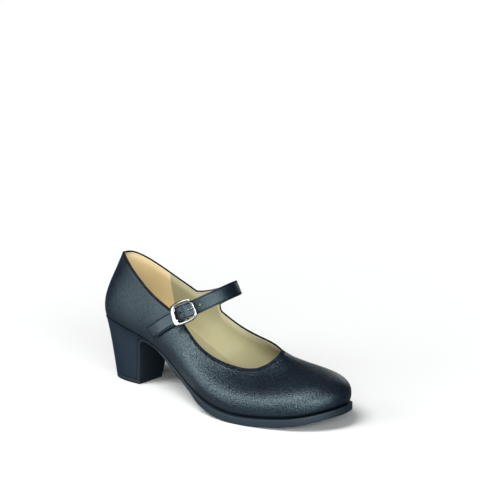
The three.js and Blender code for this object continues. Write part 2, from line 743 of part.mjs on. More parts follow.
const body = trunk();
add("upper", upper(), leather);
add("insole", insole(), sock);
add("outsole", shape(body.intersect(slab(soleProfile()))), soleMaterial);
add("heel_block", shape(body.intersect(slab(heelProfile()))), leather.clone());
add("top_piece", shape(body.intersect(slab(topPieceProfile()))), rubber);
add("instep_strap", instepStrap(), leather.clone());
add("buckle_strap", buckleStrap(), leather.clone());
add("buckle_frame", buckleFrame(), steel);
add("buckle_prong", buckleProng(), steel.clone());

export default group;
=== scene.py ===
# A right flamenco shoe dressed for its picture: black leather upper with a folded collar edge, beige
# lining and sock, moulded sole with a flap down the heel breast, covered heel, instep strap and
# nickel buckle. Shapes are worked out in millimetres from the back of the shoe, +X to the toe,
# +Y to the inner side, and put into the frame in metres.
import math

import bmesh
import bpy
import numpy as np
from mathutils import Matrix, Vector


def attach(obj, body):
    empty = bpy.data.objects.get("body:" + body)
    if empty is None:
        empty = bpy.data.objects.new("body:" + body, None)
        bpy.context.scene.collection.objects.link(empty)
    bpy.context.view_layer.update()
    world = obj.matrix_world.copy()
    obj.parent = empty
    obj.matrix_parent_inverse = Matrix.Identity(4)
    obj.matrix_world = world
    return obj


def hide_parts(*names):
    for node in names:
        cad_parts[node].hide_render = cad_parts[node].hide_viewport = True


# The shoe
SHOE_LENGTH = 240
BALL_WIDTH = 80
HEEL_HEIGHT = 53.9
COUNTER_HEIGHT = 58
WALL = 1.8
GAP = 0.3

# Sole and heel
FORE_SOLE = 5.5
WAIST_SOLE = 3
SOLE_MARGIN = 2.2
HEEL_MARGIN = 0.5
STEP_START = 0.49
STEP_END = 0.55
MARGIN_START = 0.39
MARGIN_END = 0.6
FLAT_SPOT = 0.4
TOP_PIECE = 3.5
TOP_PIECE_LENGTH = 33
TOP_PIECE_WIDTH = 28
TOP_PIECE_BACK = 14
BREAST_LEAN = 9
BREAST_FILLET = 7
ARCH_DROP = 1.8
ARCH_START = 15
ARCH_END = 30
HEEL_LIP = 0.5
HEEL_SQUARENESS = 2.6
DRAW_BACK = 0.8
DRAW_FRONT = 0.42
WAIST_START = 0.26
WAIST_END = 0.4
INSOLE = 2.5
FRONT = TOP_PIECE_BACK + TOP_PIECE_LENGTH
ORIGIN = np.array([TOP_PIECE_BACK + TOP_PIECE_LENGTH / 2, 0, 0])

# Ear, strap and buckle
EAR_FRONT = 0.768
EAR_PEAK = 0.779
EAR_BACK = 0.818
EAR = np.array([5, -1.5, 16.5])
STRAP_WIDTH = 11.5
STRAP = 1.6
BUCKLE_STRAP = 1.8
LOOP_LEATHER = 1
STRAP_SLOPE = 28
STRAP_REACH = 40
STRAP_HOLE = 1.8
HOLE_SPACING = 7.3
END_SLANT = 19
BUCKLE_AHEAD = 3
BUCKLE_LENGTH = 22.5
BUCKLE_WIDTH = 18
BROAD_BAR = 5
BAR = 2.2
BAR_THICKNESS = 1.7
CENTRE_BAR = 1.6
CENTRE_BAR_DROP = 1.1
PRONG = 1.2
TIP_COVER = 0.6
PIERCED_BEHIND = 2.4
EASE_LENGTH = 10
LOOP_RISE = 0.5
FRAME_SQUARENESS = 3.7
PRONG_COLLAR = 0.75
PRONG_COLLAR_EDGE = 0.15
PRONG_CLEARANCE = 0.25
OUTER_SEAM = ((0.1742, 0.288), (0.2078, 0.625), (0.24, 0.936))
INNER_SEAM = ((0.779, 0.85), (0.8, 0.74), (0.822, 0.6))
OUTER_LEVEL = GAP + BUCKLE_STRAP + 3 * GAP + STRAP / 2 + 0.3
INNER_LEVEL = 2 * GAP + STRAP / 2
ARCH_STEPS = 7

# Collar: the leather's thickness, how far it is drawn in at the sole, a soft swell above the
# stitch row and the channel that the row lies in
UPPER_LEATHER = 1.4
FOOT_DRAW = 1.25
PUFF = 0.16
PUFF_PLACE = 1
PUFF_WIDTH = 0.7
CHANNEL = 0.24
CHANNEL_WIDTH = 0.5
COLLAR_ROW = 2.1

# Edges and stitches of the straps. The rows lie a little under a strap's face, the one across its
# sewn end stands above it.
STRAP_ROW = 1.05
STRAP_END_ROW = 1.6
STRAP_EDGE = 0.42
STRAP_SHOULDER = 2.6
STRAP_CHANNEL = 0.22
STRAP_CROWN = 0.1
STITCH_PITCH = 1.65
STITCH_LENGTH = 1.15
THREAD = 0.42
ROW_SINK = 0.06
ROW_SINK_BELOW = 0.02
END_ROW_RISE = 0.06
END_RINGS = 12

# Lining: its gap to the collar and to the sole, its panels, and the places of its side seams as
# shares of the way round the shoe; then the sock
LINING_DROP = 1.2
LINING_FOOT = 1.5
LINING_HEIGHT = 60
LINING_EDGE = 0.22
REAR_LINING = 1.72
LINING_SEAM = 0.132
LINING_SEAM_LEAN = 0.012
LINING_OVERLAP = 0.004
LINING_ROW = 0.0042
SOCK = 1.2
SOCK_TUCK = 0.25

# Covered heel: radius of its edges and its length from back to front; the top piece's corners
COVER_EDGE = 0.8
COVER_LENGTH = 52
TOP_PIECE_CORNER = 1.5

# Looks: how much duller a turned edge is, and how much darker a turned edge and the painted shade in
# stitch channels are; the edge band's width in millimetres; size and depth of folds and grain in metres;
# tints
EDGE_DULLNESS = 0.35
EDGE_DARKNESS_AND_CHANNEL_SHADE = 0.36
EDGE_BAND = 2.3
FOLD_SIZE = 0.022
FOLD_DEPTH = 0.00025
MATT_GRAIN_DEPTH = 0.00003
LEATHER_BLACKS = ((0.0025, 0.0042, 0.008), (0.004, 0.0065, 0.0115))
LEATHER_TINT = (0.72, 0.95, 1)
RUBBER_TINT = (0.78, 0.95, 1)
# Floor colours: painted darker near the shoe against the lamps' stronger light there, and the dark and
# light of the painted reflection
FLOOR_NEAR = (0.655, 0.65, 0.645)
FLOOR_FAR = (0.99, 0.99, 0.99)
PAINTED_REFLECTION_DARK = (0.07, 0.085, 0.1)
PAINTED_REFLECTION_LIGHT = (0.9, 0.97, 1)

# Floor and lights in metres, watts and degrees, the sun in watts per square metre. Azimuth 0 is the
# shoe's outer side and 90 its toe.
FLOOR_HALF = 60.0
FLOOR_MIDDLE = (0.07, 0, 0)
LEFT_BOX_AZIMUTH = -31
RIGHT_BOX_AZIMUTH = 52
LIGHT_AIM = (0.09, 0, 0.03)
LIGHT_COLOR = (0.94, 0.99, 1)
# Name, azimuth, elevation, distance, width and height, power
SOFT_BOXES = (
    ("left box", LEFT_BOX_AZIMUTH, 13, 1.6, (0.9, 1.5), 24),
    ("right box", RIGHT_BOX_AZIMUTH, 8, 1.7, (1.5, 1.6), 68),
    ("rear box", -162, 6, 1.8, (0.6, 0.8), 2.4),
)
SUN_AZIMUTH = -8
SUN_ELEVATION = 58
SUN_POWER = 3.6
SUN_ANGLE = 34
ROOM_COLOR = (0.93, 0.97, 1)
ROOM_STRENGTH = 0.04

# Sections round the shoe, from the back over the outer side to the toe and back over the inner
# side. Foot and top are the wall's ends: along as a share of the length, across of the ball width,
# rise of the counter height. A lean is in degrees and a pull a share of the way from foot to top.
COLUMNS = (
    "foot_along", "foot_across", "foot_lean", "foot_pull",
    "top_along", "top_across", "top_lean", "top_pull", "rise",
)
SECTIONS = (
    (0.018, 0.026, 97, 0.37, 0.082, 0.003, 66, 0.35, 0.922),
    (0.058, -0.203, 75, 0.37, 0.121, -0.135, 71, 0.35, 0.974),
    (0.156, -0.301, 68, 0.37, 0.179, -0.239, 77, 0.35, 0.914),
    (0.267, -0.324, 67, 0.36, 0.254, -0.3, 79, 0.35, 0.787),
    (0.383, -0.365, 66, 0.35, 0.334, -0.327, 76, 0.35, 0.71),
    (0.5, -0.442, 64, 0.38, 0.425, -0.327, 69, 0.35, 0.69),
    (0.619, -0.507, 65, 0.38, 0.515, -0.336, 58, 0.4, 0.571),
    (0.742, -0.485, 68, 0.39, 0.611, -0.265, 44, 0.4, 0.513),
    (0.855, -0.391, 70, 0.39, 0.684, -0.174, 34, 0.42, 0.519),
    (0.946, -0.208, 72, 0.4, 0.721, -0.067, 27, 0.45, 0.596),
    (0.981, 0.057, 72, 0.42, 0.731, 0.038, 26, 0.45, 0.678),
    (0.942, 0.289, 72, 0.42, 0.716, 0.134, 29, 0.46, 0.687),
    (0.857, 0.428, 70, 0.41, 0.688, 0.23, 39, 0.43, 0.668),
    (0.744, 0.477, 68, 0.39, 0.633, 0.316, 50, 0.41, 0.671),
    (0.626, 0.401, 65, 0.39, 0.554, 0.356, 64, 0.41, 0.638),
    (0.513, 0.3, 62, 0.38, 0.46, 0.337, 78, 0.35, 0.614),
    (0.4, 0.256, 62, 0.35, 0.356, 0.312, 81, 0.35, 0.629),
    (0.286, 0.278, 67, 0.35, 0.251, 0.281, 82, 0.35, 0.691),
    (0.162, 0.309, 72, 0.36, 0.154, 0.236, 80, 0.35, 0.805),
    (0.056, 0.242, 79, 0.36, 0.086, 0.146, 74, 0.35, 0.892),
)

# Height of the sole's upper face at even steps from heel to toe, as a share of the heel's lift
SEAT_LINE = (1, 0.9349, 0.8464, 0.719, 0.5003, 0.2374, 0.06465, 0.004823, 0.03296, 0.09995, 0.2417)

# Passes that draw a curve through its points, and that find where an arc touches
RELAXATIONS = 60
TOUCH_PASSES = 30

# Camera of the photograph
CAMERA_AZIMUTH = 38.72
CAMERA_ELEVATION = 11.49
CAMERA_DISTANCE = 1088.4
CAMERA_AIM = (121.2, 23.9, 122.9)
CAMERA_LENS = 104.5
SENSOR = 36


def lerp(a, b, share):
    return a + (b - a) * share


def smoothstep(x, low, high):
    t = np.clip((x - low) / (high - low), 0, 1)
    return t * t * (3 - 2 * t)


def unit(vectors):
    return vectors / np.linalg.norm(vectors, axis=-1, keepdims=True)


def smooth(values, closed):
    """A smooth curve through evenly spaced values, as a function of the share of its length."""
    values = np.array(values, float)
    count = len(values)
    spans = count if closed else count - 1

    def with_ends(row):
        if closed:
            return np.concatenate([row[-1:], row, row[:2]])
        return np.concatenate([[2 * row[0] - row[1]], row, [2 * row[-1] - row[-2]]])

    control = values
    for _ in range(RELAXATIONS):
        row = with_ends(control)
        control = (6 * values - row[:count] - row[2 : count + 2]) / 4
    row = with_ends(control)

    def curve(share):
        share = np.asarray(share, float)
        place = (share - np.floor(share) if closed else np.clip(share, 0, 1)) * spans
        i = np.minimum(np.floor(place).astype(int), spans - 1)
        t = place - i
        s = 1 - t
        near = (3 * t**3 - 6 * t**2 + 4) * row[i + 1] + (3 * s**3 - 6 * s**2 + 4) * row[i + 2]
        return (s**3 * row[i] + near + t**3 * row[i + 3]) / 6

    return curve


SECTION = {name: smooth([row[i] for row in SECTIONS], True) for i, name in enumerate(COLUMNS)}
seat_line = smooth(SEAT_LINE, False)


def seat(x):
    """Height of the sole's upper face."""
    return FORE_SOLE + (HEEL_HEIGHT - FORE_SOLE) * seat_line(np.asarray(x) / SHOE_LENGTH)


def foot(u):
    """Plan of the wall's foot at a place round the shoe."""
    return np.stack([SECTION["foot_along"](u) * SHOE_LENGTH, SECTION["foot_across"](u) * BALL_WIDTH], -1)


def topline(u):
    """The collar's line at a place round the shoe, without the ear."""
    x = SECTION["top_along"](u) * SHOE_LENGTH
    z = seat(x) + SECTION["rise"](u) * COUNTER_HEIGHT
    return np.stack([x, SECTION["top_across"](u) * BALL_WIDTH, z], -1)


def outwards(curve, u):
    """Unit vector in plan that points out of a closed curve."""
    step = 1e-3
    way = (curve(u + step) - curve(u - step))[..., :2]
    return unit(np.stack([way[..., 1], -way[..., 0]], -1))


def ear_rise(u):
    """How much of the ear's height stands at a place round the shoe."""
    front = np.clip((u - EAR_FRONT) / (EAR_PEAK - EAR_FRONT), 0, 1)
    back = np.clip((EAR_BACK - u) / (EAR_BACK - EAR_PEAK), 0, 1)
    return front**2 * back**1.25


def wall_ends(u):
    """Foot and collar of the wall."""
    base = foot(u)
    return np.concatenate([base, (seat(base[..., 0]) + GAP)[..., None]], -1), topline(u)


def wall_height(u):
    """Straight length of the wall from foot to collar, with the ear."""
    start, end = wall_ends(u)
    return np.linalg.norm(end - start, axis=-1) + ear_rise(u) * np.linalg.norm(EAR)


def wall(u, t):
    """A point of the upper's outer face: u runs round the shoe, t from the sole to the collar."""
    u, t = np.broadcast_arrays(np.asarray(u, float), np.asarray(t, float))
    start, end = wall_ends(u)
    reach = np.linalg.norm(end - start, axis=-1)
    ear = ear_rise(u) * np.linalg.norm(EAR) / reach
    h = np.minimum(t * (1 + ear), 1)
    rise = (t * (1 + ear) - h) * reach / np.linalg.norm(EAR)

    def leg(curve, lean, pull, sign):
        angle = np.radians(SECTION[lean](u))[..., None]
        way = np.concatenate([outwards(curve, u) * np.cos(angle), sign * np.sin(angle)], -1)
        return way * (SECTION[pull](u) * reach)[..., None]

    first = start + leg(foot, "foot_lean", "foot_pull", 1)
    second = end + leg(topline, "top_lean", "top_pull", -1)
    h = h[..., None]
    s = 1 - h
    point = s**3 * start + 3 * s**2 * h * first + 3 * s * h**2 * second + h**3 * end
    return point + EAR * rise[..., None]


def wall_normal(u, t):
    """Unit vector that points out of the upper."""
    step = 1e-3
    low = np.clip(np.asarray(t, float) - step, 0, 1 - 2 * step)
    along = wall(u + step, t) - wall(u - step, t)
    up = wall(u, low + 2 * step) - wall(u, low)
    return unit(np.cross(along, up))


def on_wall(u, below_collar, depth=0.0):
    """A point by its distance below the collar and its depth under the outer face."""
    t = 1 - below_collar / wall_height(u)
    return wall(u, t) - wall_normal(u, t) * np.asarray(depth, float)[..., None]


def places_round():
    """Places round the shoe, closer together at the ear."""
    even = np.linspace(0, 1, 420, endpoint=False)
    near = np.linspace(EAR_FRONT - 0.01, EAR_BACK + 0.004, 110)
    return np.unique(np.round(np.concatenate([even, near]), 5))


# Meshes
def new_object(name, data):
    """An object in the scene."""
    obj = bpy.data.objects.new(name, data)
    bpy.context.scene.collection.objects.link(obj)
    return obj


def metres(points):
    """Points in millimetres from the back of the shoe as metres in the frame."""
    return (np.asarray(points) - ORIGIN) * 0.001


def add_mesh(name, points, faces, materials, sharp=50, merge=0.0):
    """A mesh object from points in millimetres, with its place in its mesh."""
    mesh = bpy.data.meshes.new(name)
    mesh.from_pydata(metres(points).tolist(), [], faces)
    obj = new_object(name, mesh)
    for material in materials:
        mesh.materials.append(material)
    tidy_mesh(mesh, merge)
    mesh.shade_smooth()
    mesh.set_sharp_from_angle(angle=math.radians(sharp))
    return obj


def tidy_mesh(mesh, merge):
    """Turns all faces outwards, and first merges points that lie close, where asked."""
    work = bmesh.new()
    work.from_mesh(mesh)
    if merge:
        bmesh.ops.remove_doubles(work, verts=work.verts, dist=merge)
        bmesh.ops.dissolve_degenerate(work, edges=work.edges, dist=merge)
    bmesh.ops.recalc_face_normals(work, faces=work.faces)
    work.to_mesh(mesh)
    work.free()


def grid_faces(rows, columns, wrap_rows=False, wrap_columns=False):
    """Quads over a grid of points, row by row."""
    faces = []
    for i in range(rows if wrap_rows else rows - 1):
        here, after = i * columns, (i + 1) % rows * columns
        for j in range(columns if wrap_columns else columns - 1):
            k = (j + 1) % columns
            faces.append((here + j, here + k, after + k, after + j))
    return faces


def arc(radius, steps, start, end):
    """Points of an arc about the origin, angles in degrees."""
    angles = np.radians(np.linspace(start, end, steps))
    return np.stack([radius * np.cos(angles), radius * np.sin(angles)], -1)


# The upper and its lining
def collar_rounding(below, radius):
    """How far the leather's face lies in at the folded edge."""
    inside = np.clip(radius - below, 0, radius)
    return radius - np.sqrt(radius**2 - inside**2)


def upper_leather(material):
    """The outer leather, folded over at the collar and drawn in where it meets the sole."""
    u = places_round()
    height = wall_height(u)
    radius = UPPER_LEATHER / 2
    turned = radius * (1 - np.cos(np.linspace(0, np.pi / 2, 7)))
    near = np.concatenate([turned, np.arange(0.95, 4.2, 0.23), [4.8, 6]])
    low = np.array([0, 0.3, 0.7, 1.1, 1.6, 2.2, 3])
    columns = []
    for below in near:
        channel = CHANNEL * math.exp(-(((below - COLLAR_ROW) / CHANNEL_WIDTH) ** 2))
        puff = PUFF * math.exp(-(((below - PUFF_PLACE) / PUFF_WIDTH) ** 2)) * smoothstep(below, 0.2, 0.9)
        columns.append(on_wall(u, below, collar_rounding(below, radius) + channel - puff))
    for share in np.linspace(0, 1, 44)[1:-1]:
        columns.append(on_wall(u, lerp(near[-1], height - low[-1], share)))
    for above in low[::-1]:
        columns.append(on_wall(u, height - above, FOOT_DRAW * (1 - above / low[-1]) ** 2))
    for above in (0, low[-1]):
        columns.append(on_wall(u, height - above, UPPER_LEATHER))
    for share in np.linspace(0, 1, 22)[1:-1]:
        columns.append(on_wall(u, lerp(height - low[-1], near[-1], share), UPPER_LEATHER))
    for below in (near[-1], 3, 1.6):
        columns.append(on_wall(u, below, UPPER_LEATHER))
    for below in turned[:0:-1]:
        columns.append(on_wall(u, below, UPPER_LEATHER - collar_rounding(below, radius)))
    grid = np.stack(columns, 1)
    faces = grid_faces(grid.shape[0], grid.shape[1], True, True)
    leather = add_mesh("upper_leather", grid.reshape(-1, 3), faces, [material])
    # Duller, darker turned collar edge, with painted shade in the stitch channel under it
    band = np.zeros(grid.shape[:2])
    band[:, : len(near)] = 1 - smoothstep(near, EDGE_BAND - 0.4, EDGE_BAND + 0.3)
    band[:, -6:] = 1
    mark(leather, "turned_edge_and_painted_channel_shade", band)
    return leather


def mark(obj, name, values):
    """Stores a value for each point, which a material can read."""
    attribute = obj.data.attributes.new(name, "FLOAT", "POINT")
    attribute.data.foreach_set("value", np.asarray(values, float).ravel())


def seam_place(t, sign):
    """Place round the shoe of the lining's seam, at a share of the wall's height, on either side."""
    place = LINING_SEAM - LINING_SEAM_LEAN * (1 - t)
    return place if sign < 0 else 1 - place


def lining_panel(name, start, end, steps, depth, material):
    """One panel of the lining between two seams, given as functions of the height."""
    rows, marks = [], []
    levels = np.concatenate([[0, 0.08, 0.2, 0.4, 0.8, 1.4, 2.2, 3], np.linspace(4.5, LINING_HEIGHT, 24)])
    share = np.linspace(0, 1, steps)

    def add_level(below, inside):
        height = np.clip(1 - below / LINING_HEIGHT, 0, 1)
        u = lerp(start(height), end(height), share)
        reach = wall_height(u) - LINING_DROP - LINING_FOOT
        down = np.minimum(below / LINING_HEIGHT * reach if below > 3 else below, reach)
        rows.append(on_wall(u, LINING_DROP + down, inside))
        marks.append(down)

    for below in levels[::-1]:
        add_level(below, UPPER_LEATHER + 0.03)
    for below in levels:
        add_level(below, depth - collar_rounding(below + 1e-6, LINING_EDGE))
    count = len(rows)
    faces = grid_faces(count, steps, True, False)
    faces.append(tuple(i * steps for i in range(count)))
    faces.append(tuple(i * steps + steps - 1 for i in range(count)))
    panel = add_mesh(name, np.concatenate(rows), faces, [material])
    mark(panel, "from_collar", np.concatenate(marks))
    return panel


def rear_panel(material):
    """The lining round the heel, its ends under the front panel."""
    return lining_panel(
        "rear_lining", lambda t: seam_place(t, 1) - LINING_OVERLAP,
        lambda t: 1 + seam_place(t, -1) + LINING_OVERLAP, 140, REAR_LINING, material,
    )


def front_panel(material):
    """The lining of the sides and the toe."""
    return lining_panel(
        "front_lining", lambda t: seam_place(t, -1), lambda t: seam_place(t, 1), 420, WALL, material
    )


# Outline slabs: sock, sole and top piece
def slab(name, lateral, medial, rounding, material, pole_at_start, across=10, sharp=40):
    """A slab from pairs of edge points. Lateral and medial hold (top, bottom) for each station and
    share their last one. The edge is rounded at the top and bottom by two radii."""
    over, under = rounding
    chain = np.concatenate([lateral, medial[-2::-1]])
    count = len(lateral)
    if pole_at_start:
        chain = chain[:-1]
        middle = chain.mean(1)
        along = np.roll(middle, -1, 0) - np.roll(middle, 1, 0)
    else:
        along = np.gradient(chain.mean(1), axis=0)
    thickness = chain[:, 0] - chain[:, 1]
    out = unit(np.cross(along, thickness))
    upright = unit(thickness)
    rim = [chain[:, 0] + out * (a - over) + upright * (b - over) for a, b in arc(over, 6, 90, 0)]
    rim += [chain[:, 1] + out * (a - under) + upright * (b + under) for a, b in arc(under, 6, 0, -90)]
    rim = np.stack(rim, 1)
    stations, sides = rim.shape[:2]
    faces = grid_faces(stations, sides, pole_at_start, False)
    points = [rim.reshape(-1, 3)]
    total = stations * sides
    here = np.arange(count)
    opposite = (stations - here) % stations if pole_at_start else stations - 1 - here
    shares = np.linspace(0, 1, across + 1)[1:-1, None]
    for column in (0, sides - 1):
        inner = lerp(rim[here, column][:, None], rim[opposite, column][:, None], shares)
        index = total + np.arange(count * (across - 1)).reshape(count, across - 1)
        total += inner.size // 3
        points.append(inner.reshape(-1, 3))
        ends = [here[:, None] * sides + column, opposite[:, None] * sides + column]
        table = np.concatenate([ends[0], index, ends[1]], 1)
        for i in range(count - 1):
            for j in range(across):
                faces.append((table[i, j], table[i, j + 1], table[i + 1, j + 1], table[i + 1, j]))
    if not pole_at_start:
        last = (stations - 1) * sides
        faces.append((*range(sides), *range(last + sides - 1, last - 1, -1)))
    faces = [tuple(int(k) for k in face) for face in faces]
    return add_mesh(name, np.concatenate(points), faces, [material], sharp, merge=2e-6)


def sock(material):
    """The beige sock over the insole, its edge pressed into the lining at top and bottom."""
    u = np.linspace(0, 1, 361)[:-1]

    def rim(rise):
        t = rise / wall_height(u)
        halves = split_outline(wall(u, t) - wall_normal(u, t) * (WALL - SOCK_TUCK), 150)
        for half in halves:
            half[:, 2] = seat(half[:, 0]) + rise
        return halves

    top = GAP + INSOLE
    lateral, medial = (np.stack(pair, 1) for pair in zip(rim(top), rim(top - SOCK)))
    return slab("sock", lateral, medial, (0.2, 0.2), material, True, 24)


def split_outline(points, count):
    """Lateral and medial halves of a closed outline, resampled at the same shares of its length."""
    ring = np.roll(points, -int(np.argmin(points[:, 0])), 0)
    tip = int(np.argmax(ring[:, 0]))
    lateral = ring[: tip + 1]
    medial = np.concatenate([ring[tip:], ring[:1]])[::-1]
    xs = lerp(ring[0, 0], ring[tip, 0], 0.5 - 0.5 * np.cos(np.linspace(0, np.pi, count)))

    def resample(half):
        order = np.argsort(half[:, 0])
        return np.stack([np.interp(xs, half[order, 0], half[order, k]) for k in range(half.shape[1])], 1)

    first, second = resample(lateral), resample(medial)
    second[0], second[-1] = first[0], first[-1]
    return first, second


# Sole and heel
def outline(u):
    """Plan of the sole's edge."""
    plan = foot(u)
    share = smoothstep(plan[..., 0] / SHOE_LENGTH, MARGIN_START, MARGIN_END)
    return plan + outwards(foot, u) * lerp(HEEL_MARGIN, SOLE_MARGIN, share)[..., None]


def heel_foot(plan):
    """Outline of the heel's foot for a place on the outline above it."""
    back = foot(0.0)[0]
    behind = np.minimum(np.maximum(FRONT - plan[..., 0], 0) / (FRONT - back), 1)
    x = plan[..., 0] + (TOP_PIECE_BACK - back) * behind**1.5
    share = np.clip((FRONT - x) / TOP_PIECE_LENGTH, 0, 1)
    y = 0.5 * TOP_PIECE_WIDTH * (1 - share**HEEL_SQUARENESS) ** (1 / HEEL_SQUARENESS)
    return np.stack([x, np.sign(plan[..., 1]) * y], -1)


def side(u, z):
    """Plan point of the side of sole and heel at a height."""
    plan = outline(u)
    drawn = 1 - smoothstep(foot(u)[..., 0] / SHOE_LENGTH, WAIST_START, WAIST_END)
    low = lerp(plan, heel_foot(plan), drawn[..., None])
    top = seat(plan[..., 0])
    depth = np.clip((top - z) / (top + 1), 0, 1)
    power = lerp(DRAW_BACK, DRAW_FRONT, smoothstep(plan[..., 0], 0, FRONT))
    return lerp(plan, low, (depth**power)[..., None])


ROUND = np.linspace(-0.06, 1.06, 1400)
BACK_PLACE = float(ROUND[100 + int(np.argmin(outline(ROUND[100:-100])[:, 0]))])
TIP_PLACE = float(ROUND[int(np.argmax(outline(ROUND)[:, 0]))])
if BACK_PLACE > 0.5:
    BACK_PLACE -= 1


def back_place(inner):
    """The heel's back as a place round the shoe, counted from the outer or the inner side."""
    return BACK_PLACE + 1 if inner else BACK_PLACE


def side_point(x, z, inner):
    """The point of the side at a place along the shoe and a height, on the outer or inner side."""
    plan = side(np.linspace(back_place(inner), TIP_PLACE, 700), np.full(700, z))
    along = np.maximum.accumulate(plan[:, 0])
    return np.array([x, np.interp(x, along, plan[:, 1]), z])


def breast(z, behind):
    """Where the flap's face lies along the shoe, or a line behind it, at a height."""
    return FRONT - behind + BREAST_LEAN * z / HEEL_HEIGHT


def sole_top(x):
    """The sole's top: lower where it turns down the breast, at the seat a little further on."""
    return seat(x) - ARCH_DROP * (1 - smoothstep(x, FRONT + ARCH_START, FRONT + ARCH_END))


def sole_under(x):
    """The sole's underside, flat on the floor under the ball."""
    share = smoothstep(x / SHOE_LENGTH, STEP_START, STEP_END)
    height = sole_top(x) - lerp(WAIST_SOLE, FORE_SOLE, share)
    eased = height - FLAT_SPOT * (1 - np.minimum(height / 6, 1))
    return np.where(height < FLAT_SPOT, 0, eased)


def turn(behind, below, radius, steps=24):
    """Arc that touches the waist's line and the breast, from waist to breast."""
    down = unit(np.array([-BREAST_LEAN, -HEEL_HEIGHT]))
    lean = BREAST_LEAN / HEEL_HEIGHT
    touch = FRONT + BREAST_LEAN + 2 * radius
    for _ in range(TOUCH_PASSES):
        slope = float(sole_top(touch + 0.5) - sole_top(touch - 0.5))
        start = float(sole_top(touch)) - below - slope * touch
        x = (FRONT - behind + lean * start) / (1 - lean * slope)
        corner = np.array([x, start + slope * x])
        waist = unit(np.array([1, slope]))
        half = math.acos(float(waist @ down)) / 2
        reach = radius / math.tan(half)
        touch = float(corner[0] + waist[0] * reach)
    middle = corner + unit(waist + down) * radius / math.sin(half)
    start = corner + waist * reach - middle
    end = corner + down * reach - middle
    first = math.atan2(start[1], start[0])
    sweep = (math.atan2(end[1], end[0]) - first + 3 * math.pi) % (2 * math.pi) - math.pi
    angles = first + sweep * np.linspace(0, 1, steps)
    return middle + radius * np.stack([np.cos(angles), np.sin(angles)], -1)


def outsole(material):
    """Flap, waist and forefoot as one moulded sole."""
    floor = TOP_PIECE + GAP
    under = turn(0, WAIST_SOLE, BREAST_FILLET)[::-1]
    over = turn(WAIST_SOLE, 0, BREAST_FILLET + WAIST_SOLE)[::-1]
    up = np.linspace(0, 1, 24)[:-1, None]
    rear = lerp(np.array([breast(floor, WAIST_SOLE), floor]), over[0], up)
    face = lerp(np.array([breast(floor, 0), floor]), under[0], up)
    tip = float(outline(np.array(TIP_PLACE))[0])
    closer = 0.5 + 0.5 * np.sin(np.linspace(0, np.pi / 2, 90))[1:]
    way = np.concatenate([np.linspace(0, 0.5, 90)[1:], closer])
    top_x = lerp(over[-1, 0], tip, way)
    low_x = lerp(under[-1, 0], tip, way)
    tops = np.concatenate([rear, over, np.stack([top_x, sole_top(top_x)], 1)])
    lows = np.concatenate([face, under, np.stack([low_x, sole_under(low_x)], 1)])

    def pairs(inner):
        edges = zip(tops, lows)
        return np.array([[side_point(*top, inner), side_point(*low, inner)] for top, low in edges])

    lateral, medial = pairs(False), pairs(True)
    medial[-1] = lateral[-1]
    return slab("sole", lateral, medial, (0.45, 0.7), material, False, 8)


def top_piece(material):
    """The rubber top piece under the heel, its corners rounded."""

    def ring(z):
        front = breast(z, 0) - TOP_PIECE_CORNER
        back = side(np.array(BACK_PLACE), z)
        xs = lerp(back[0], front, np.sin(np.linspace(0, np.pi / 2, 60)))
        halves = []
        for inner in (False, True):
            line = np.array([side_point(x, z, inner) for x in xs])
            line[0, 1] = back[1]
            sign = 1 if inner else -1
            edge = abs(line[-1, 1]) - TOP_PIECE_CORNER
            bend = arc(TOP_PIECE_CORNER, 9, 0, 90)[1:]
            turned = [[front + b, sign * (edge + a), z] for a, b in bend]
            shares = np.linspace(0, 1, 12)[1:]
            across = [[breast(z, 0), sign * edge * (1 - share), z] for share in shares]
            halves.append(np.concatenate([line, turned, across]))
        return halves

    lateral, medial = (np.stack(pair, 1) for pair in zip(ring(TOP_PIECE), ring(0.0)))
    return slab("top_piece_rubber", lateral, medial, (0.3, 0.5), material, True, 6)


